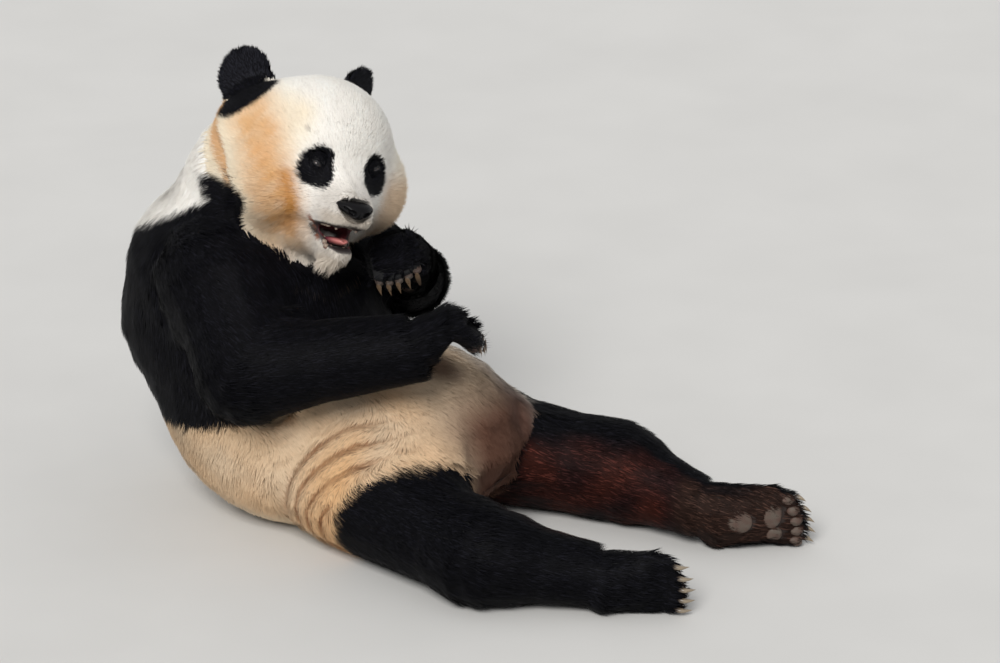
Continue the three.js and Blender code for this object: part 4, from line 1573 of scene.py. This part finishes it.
place, reach = head_extent("nose")
points, faces = unit_ball(NOSE_STEPS)
across, ahead, up = points.T
front = ramp(*IN_FRONT, ahead)
power = np.where(up > 0, NOSE_BALL["above"], NOSE_BALL["below"])
z = rounded(up, power) * reach[2] * NOSE_SIZE["high"]
triangle = NOSE_TRIANGLE["tip"] + NOSE_TRIANGLE["widens"] * ramp(*NOSE_TRIANGLE["from"], up)
x = rounded(across, NOSE_BALL["across"]) * triangle * reach[0] * NOSE_SIZE["wide"]
y = rounded(ahead, NOSE_BALL["ahead"]) * NOSE_SIZE["deep"]
y = y - NOSE_SIZE["leans"] * z - NOSE_SIZE["curves"] * x ** 2
flat = np.stack([np.abs(x), np.zeros(len(x)), z], 1)
hole = np.maximum(near_path(flat, NOSTRIL[:2], *NOSTRIL_ROUND),
                  near_path(flat, NOSTRIL[1:], *NOSTRIL_THIN)) * ramp(*HOLE_FRONT, ahead)
rim = near_path(flat, NOSTRIL[:2], *NOSTRIL_RIM) * front
groove = np.exp(-(x / GROOVE["half"]) ** 2) * ramp(*GROOVE["under"], z) * front
y = y + RIM_HIGH * rim - NOSTRIL_DEEP * hole - GROOVE["deep"] * groove
nose_points = head.world(np.stack([x, y, z], 1) + place)
# The nostrils and the groove are painted darker: painted shade in the hollows.
nose_colours = mixed(plain(NOSE_BLACK, x), PUPIL_BLACK, np.maximum(hole, groove))

# %% Nose leather
LEATHER_GRAIN = 520.0
nose_finish = Finish("nose leather")
nose_place = nose_finish.add("ShaderNodeTexCoord", output=OBJECT_PLACE)
grains = nose_finish.add("ShaderNodeTexVoronoi", {"feature": "DISTANCE_TO_EDGE"},
                         {"Vector": nose_place, "Scale": LEATHER_GRAIN})
grains = nose_finish.add("ShaderNodeMath", {"operation": "MINIMUM"}, {0: grains, 1: 0.25})
nose_material = nose_finish.finished(
    Base_Color=nose_finish.marking(),
    Roughness=nose_finish.stops(nose_finish.noise(160), (0.35, 0.34), (0.65, 0.50)),
    Specular_IOR_Level=0.12, Normal=nose_finish.bump(grains, 1.2 * MM, 0.35),
    Coat_Weight=0.12, Coat_Roughness=0.10)
fitting("nose_leather", [(nose_points, faces, nose_colours)], nose_material, "nose", "nose")

# %% [markdown]
# ### Tongue and teeth
# The tongue is a flat ball with a groove along its middle. Teeth are balls drawn out to a
# point: long ones for the canines and broad ones at the back. The front teeth stay behind the
# lips, so they are left out.

# %% Tongue
TONGUE_TIP = srgb(204, 124, 118)
TONGUE_BACK = srgb(112, 40, 56)
TONGUE_TIP_FROM = (-0.1, 0.9)
TONGUE = {"power": 0.9, "high": 0.80, "rises": 0.20, "curves": 8, "groove_deep": 0.0024,
          "groove_half": 0.0035, "groove_up": (-0.8, 0.2)}
TONGUE_STEPS = 36

place, reach = head_extent("tongue")
points, faces = unit_ball(TONGUE_STEPS)
across, ahead, up = points.T
x, y = across * reach[0], ahead * reach[1]
groove = np.exp(-(x / TONGUE["groove_half"]) ** 2) * ramp(*TONGUE["groove_up"], up)
z = rounded(up, TONGUE["power"]) * reach[2] * TONGUE["high"] + TONGUE["rises"] * y
z = z - TONGUE["groove_deep"] * groove + TONGUE["curves"] * x ** 2
tongue_colours = mixed(plain(TONGUE_BACK, x), TONGUE_TIP, ramp(*TONGUE_TIP_FROM, ahead))
tongue_finish = fitting_finish("tongue", 0.30, 1400, 0.35 * MM, coat=0.4)
tongue_points = head.world(np.stack([x, y, z], 1) + place)
fitting("tongue_flesh", [(tongue_points, faces, tongue_colours)], tongue_finish, "tongue", "tongue")

# %% Teeth
TOOTH = srgb(164, 146, 130)
TOOTH_ROOT = srgb(110, 70, 62)
TOOTH_STEPS = 12
SQUARE, BLUNT, TOOTH_BENDS = 0.6, 0.7, 0.1
ROOT_COLOUR = (0.25, 0.6)
UPPER, LOWER = -1, 1
# How far from the middle, ahead and up; which jaw; length, width, depth and how sharp.
CANINES = (((0.020, 0.177, -0.077), UPPER, 0.0100, 0.0046, 0.0052, 0.55),
           ((0.013, 0.161, -0.1275), LOWER, 0.0090, 0.0044, 0.0050, 0.55))
CHEEK_TEETH = (((0.020, 0.134, -0.1150), LOWER, 0.0065, 0.0044, 0.0056, 0.05),
               ((0.027, 0.134, -0.0865), UPPER, 0.004, 0.0042, 0.0054, 0.1))
NEXT_TOOTH = {LOWER: np.array([0, 0.0108, -0.0050]), UPPER: np.array([0, 0.0108, 0.0014])}
tooth_points, tooth_faces = unit_ball(TOOTH_STEPS)


def tooth(place, jaw, length, wide, long, sharp):
    """A tooth from its root, in the head's frame."""
    across, ahead, up = tooth_points.T
    share = (up + 1) / 2
    slim = 1 - sharp * share
    crown = (rounded(up, BLUNT) + 1) / 2
    local = np.stack([
        rounded(across, SQUARE) * slim * wide,
        rounded(ahead, SQUARE) * slim * long - TOOTH_BENDS * length * share ** 2,
        (crown * 1.5 - 0.5) * length * jaw], 1)
    colour = mixed(plain(TOOTH_ROOT, share), TOOTH, ramp(*ROOT_COLOUR, share))
    return head.world(local + place), facing(tooth_faces, jaw), colour


teeth = []
for sign in SIDES.values():
    mirror = [sign, 1, 1]
    teeth += [tooth(np.array(place) * mirror, *numbers) for place, *numbers in CANINES]
    for k in range(3):
        for place, jaw, *numbers in CHEEK_TEETH:
            teeth.append(tooth((place + NEXT_TOOTH[jaw] * k) * mirror, jaw, *numbers))
tooth_finish = fitting_finish("teeth", 0.28, 700, 0.1 * MM, coat=0.3)
fitting("teeth", teeth, tooth_finish, "claws")

# %% [markdown]
# ### Claws and pads
# A claw is a ball drawn out along a bent line and thinned to a point. A pad is a ball pressed
# onto the skin: each of its points is moved to the skin under it and then out by its height.

# %% Claws
CLAW = {"wide": 0.0046, "tall": 0.0058, "bend": 0.0050, "buried": 0.30, "thick": 1.15}
CLAW_STEPS = PAD_STEPS = 10
HORN_ROOT = srgb(66, 54, 45)
HORN_TIPS = {"foot": srgb(150, 136, 116), "hand": srgb(112, 92, 72)}
TIP_COLOUR = (0.0, 0.5)
horn_finish = fitting_finish("horn", 0.38, 500, 0.25 * MM, coat=0.2)
claw_points, claw_faces = unit_ball(CLAW_STEPS)


def claw(paw, root, tip):
    across, up, along = claw_points.T
    share = (along + 1) / 2 * (1 + CLAW["buried"]) - CLAW["buried"]
    slim = CLAW["thick"] * np.sqrt(np.clip(1 - share, 0, 1))
    centre = root + (tip - root) * share[:, None]
    centre = centre - paw.down * (CLAW["bend"] * (1 - (2 * share - 1) ** 2))[:, None]
    points = centre + np.outer(across * slim * CLAW["wide"], paw.across)
    points = points + np.outer(up * slim * CLAW["tall"], paw.down)
    faces = facing(claw_faces, dot(np.cross(paw.across, paw.down), tip - root))
    colour = mixed(plain(HORN_ROOT, share), HORN_TIPS[paw.part], ramp(*TIP_COLOUR, share))
    return points, faces, colour


for paw in paws:
    nodes = [f"{paw.part}_claw_{digit}_{paw.side}" for digit in DIGITS]
    shapes = [claw(paw, root, tip) for root, tip in zip(paw.roots, paw.tips)]
    fitting(f"claws_{paw.part}_{paw.side}", shapes, horn_finish, "claws", *nodes)

# %% Pads
PAD_GREY = srgb(98, 88, 78)
PAD_BROWN = srgb(92, 66, 56)
PAD_SHADES = {"foot": 1.0, "hand": 0.55}
PAD_FLAT = 0.7
pad_finish = fitting_finish("pads", 0.62, 650, 0.9 * MM)
pad_points, pad_faces = unit_ball(PAD_STEPS)


def pad(paw, place, long, wide, high):
    along, across, up = pad_points.T
    points = place + np.outer(along * long, paw.ahead) + np.outer(across * wide, paw.across)
    points = np.array([paw.on_skin(point) for point in points])
    points = points + np.outer(rounded(up, PAD_FLAT) * high, paw.down)
    faces = facing(pad_faces, dot(np.cross(paw.ahead, paw.across), paw.down))
    grey = patchy(points, 0.012, 81, 0.5, 0.5)
    colour = mixed(plain(PAD_BROWN, points), PAD_GREY, grey)
    return points, faces, colour * PAD_SHADES[paw.part]


for paw in paws:
    shapes = [pad(paw, *numbers) for numbers in paw.pads()]
    fitting(f"pads_{paw.part}_{paw.side}", shapes, pad_finish, "coat_black")
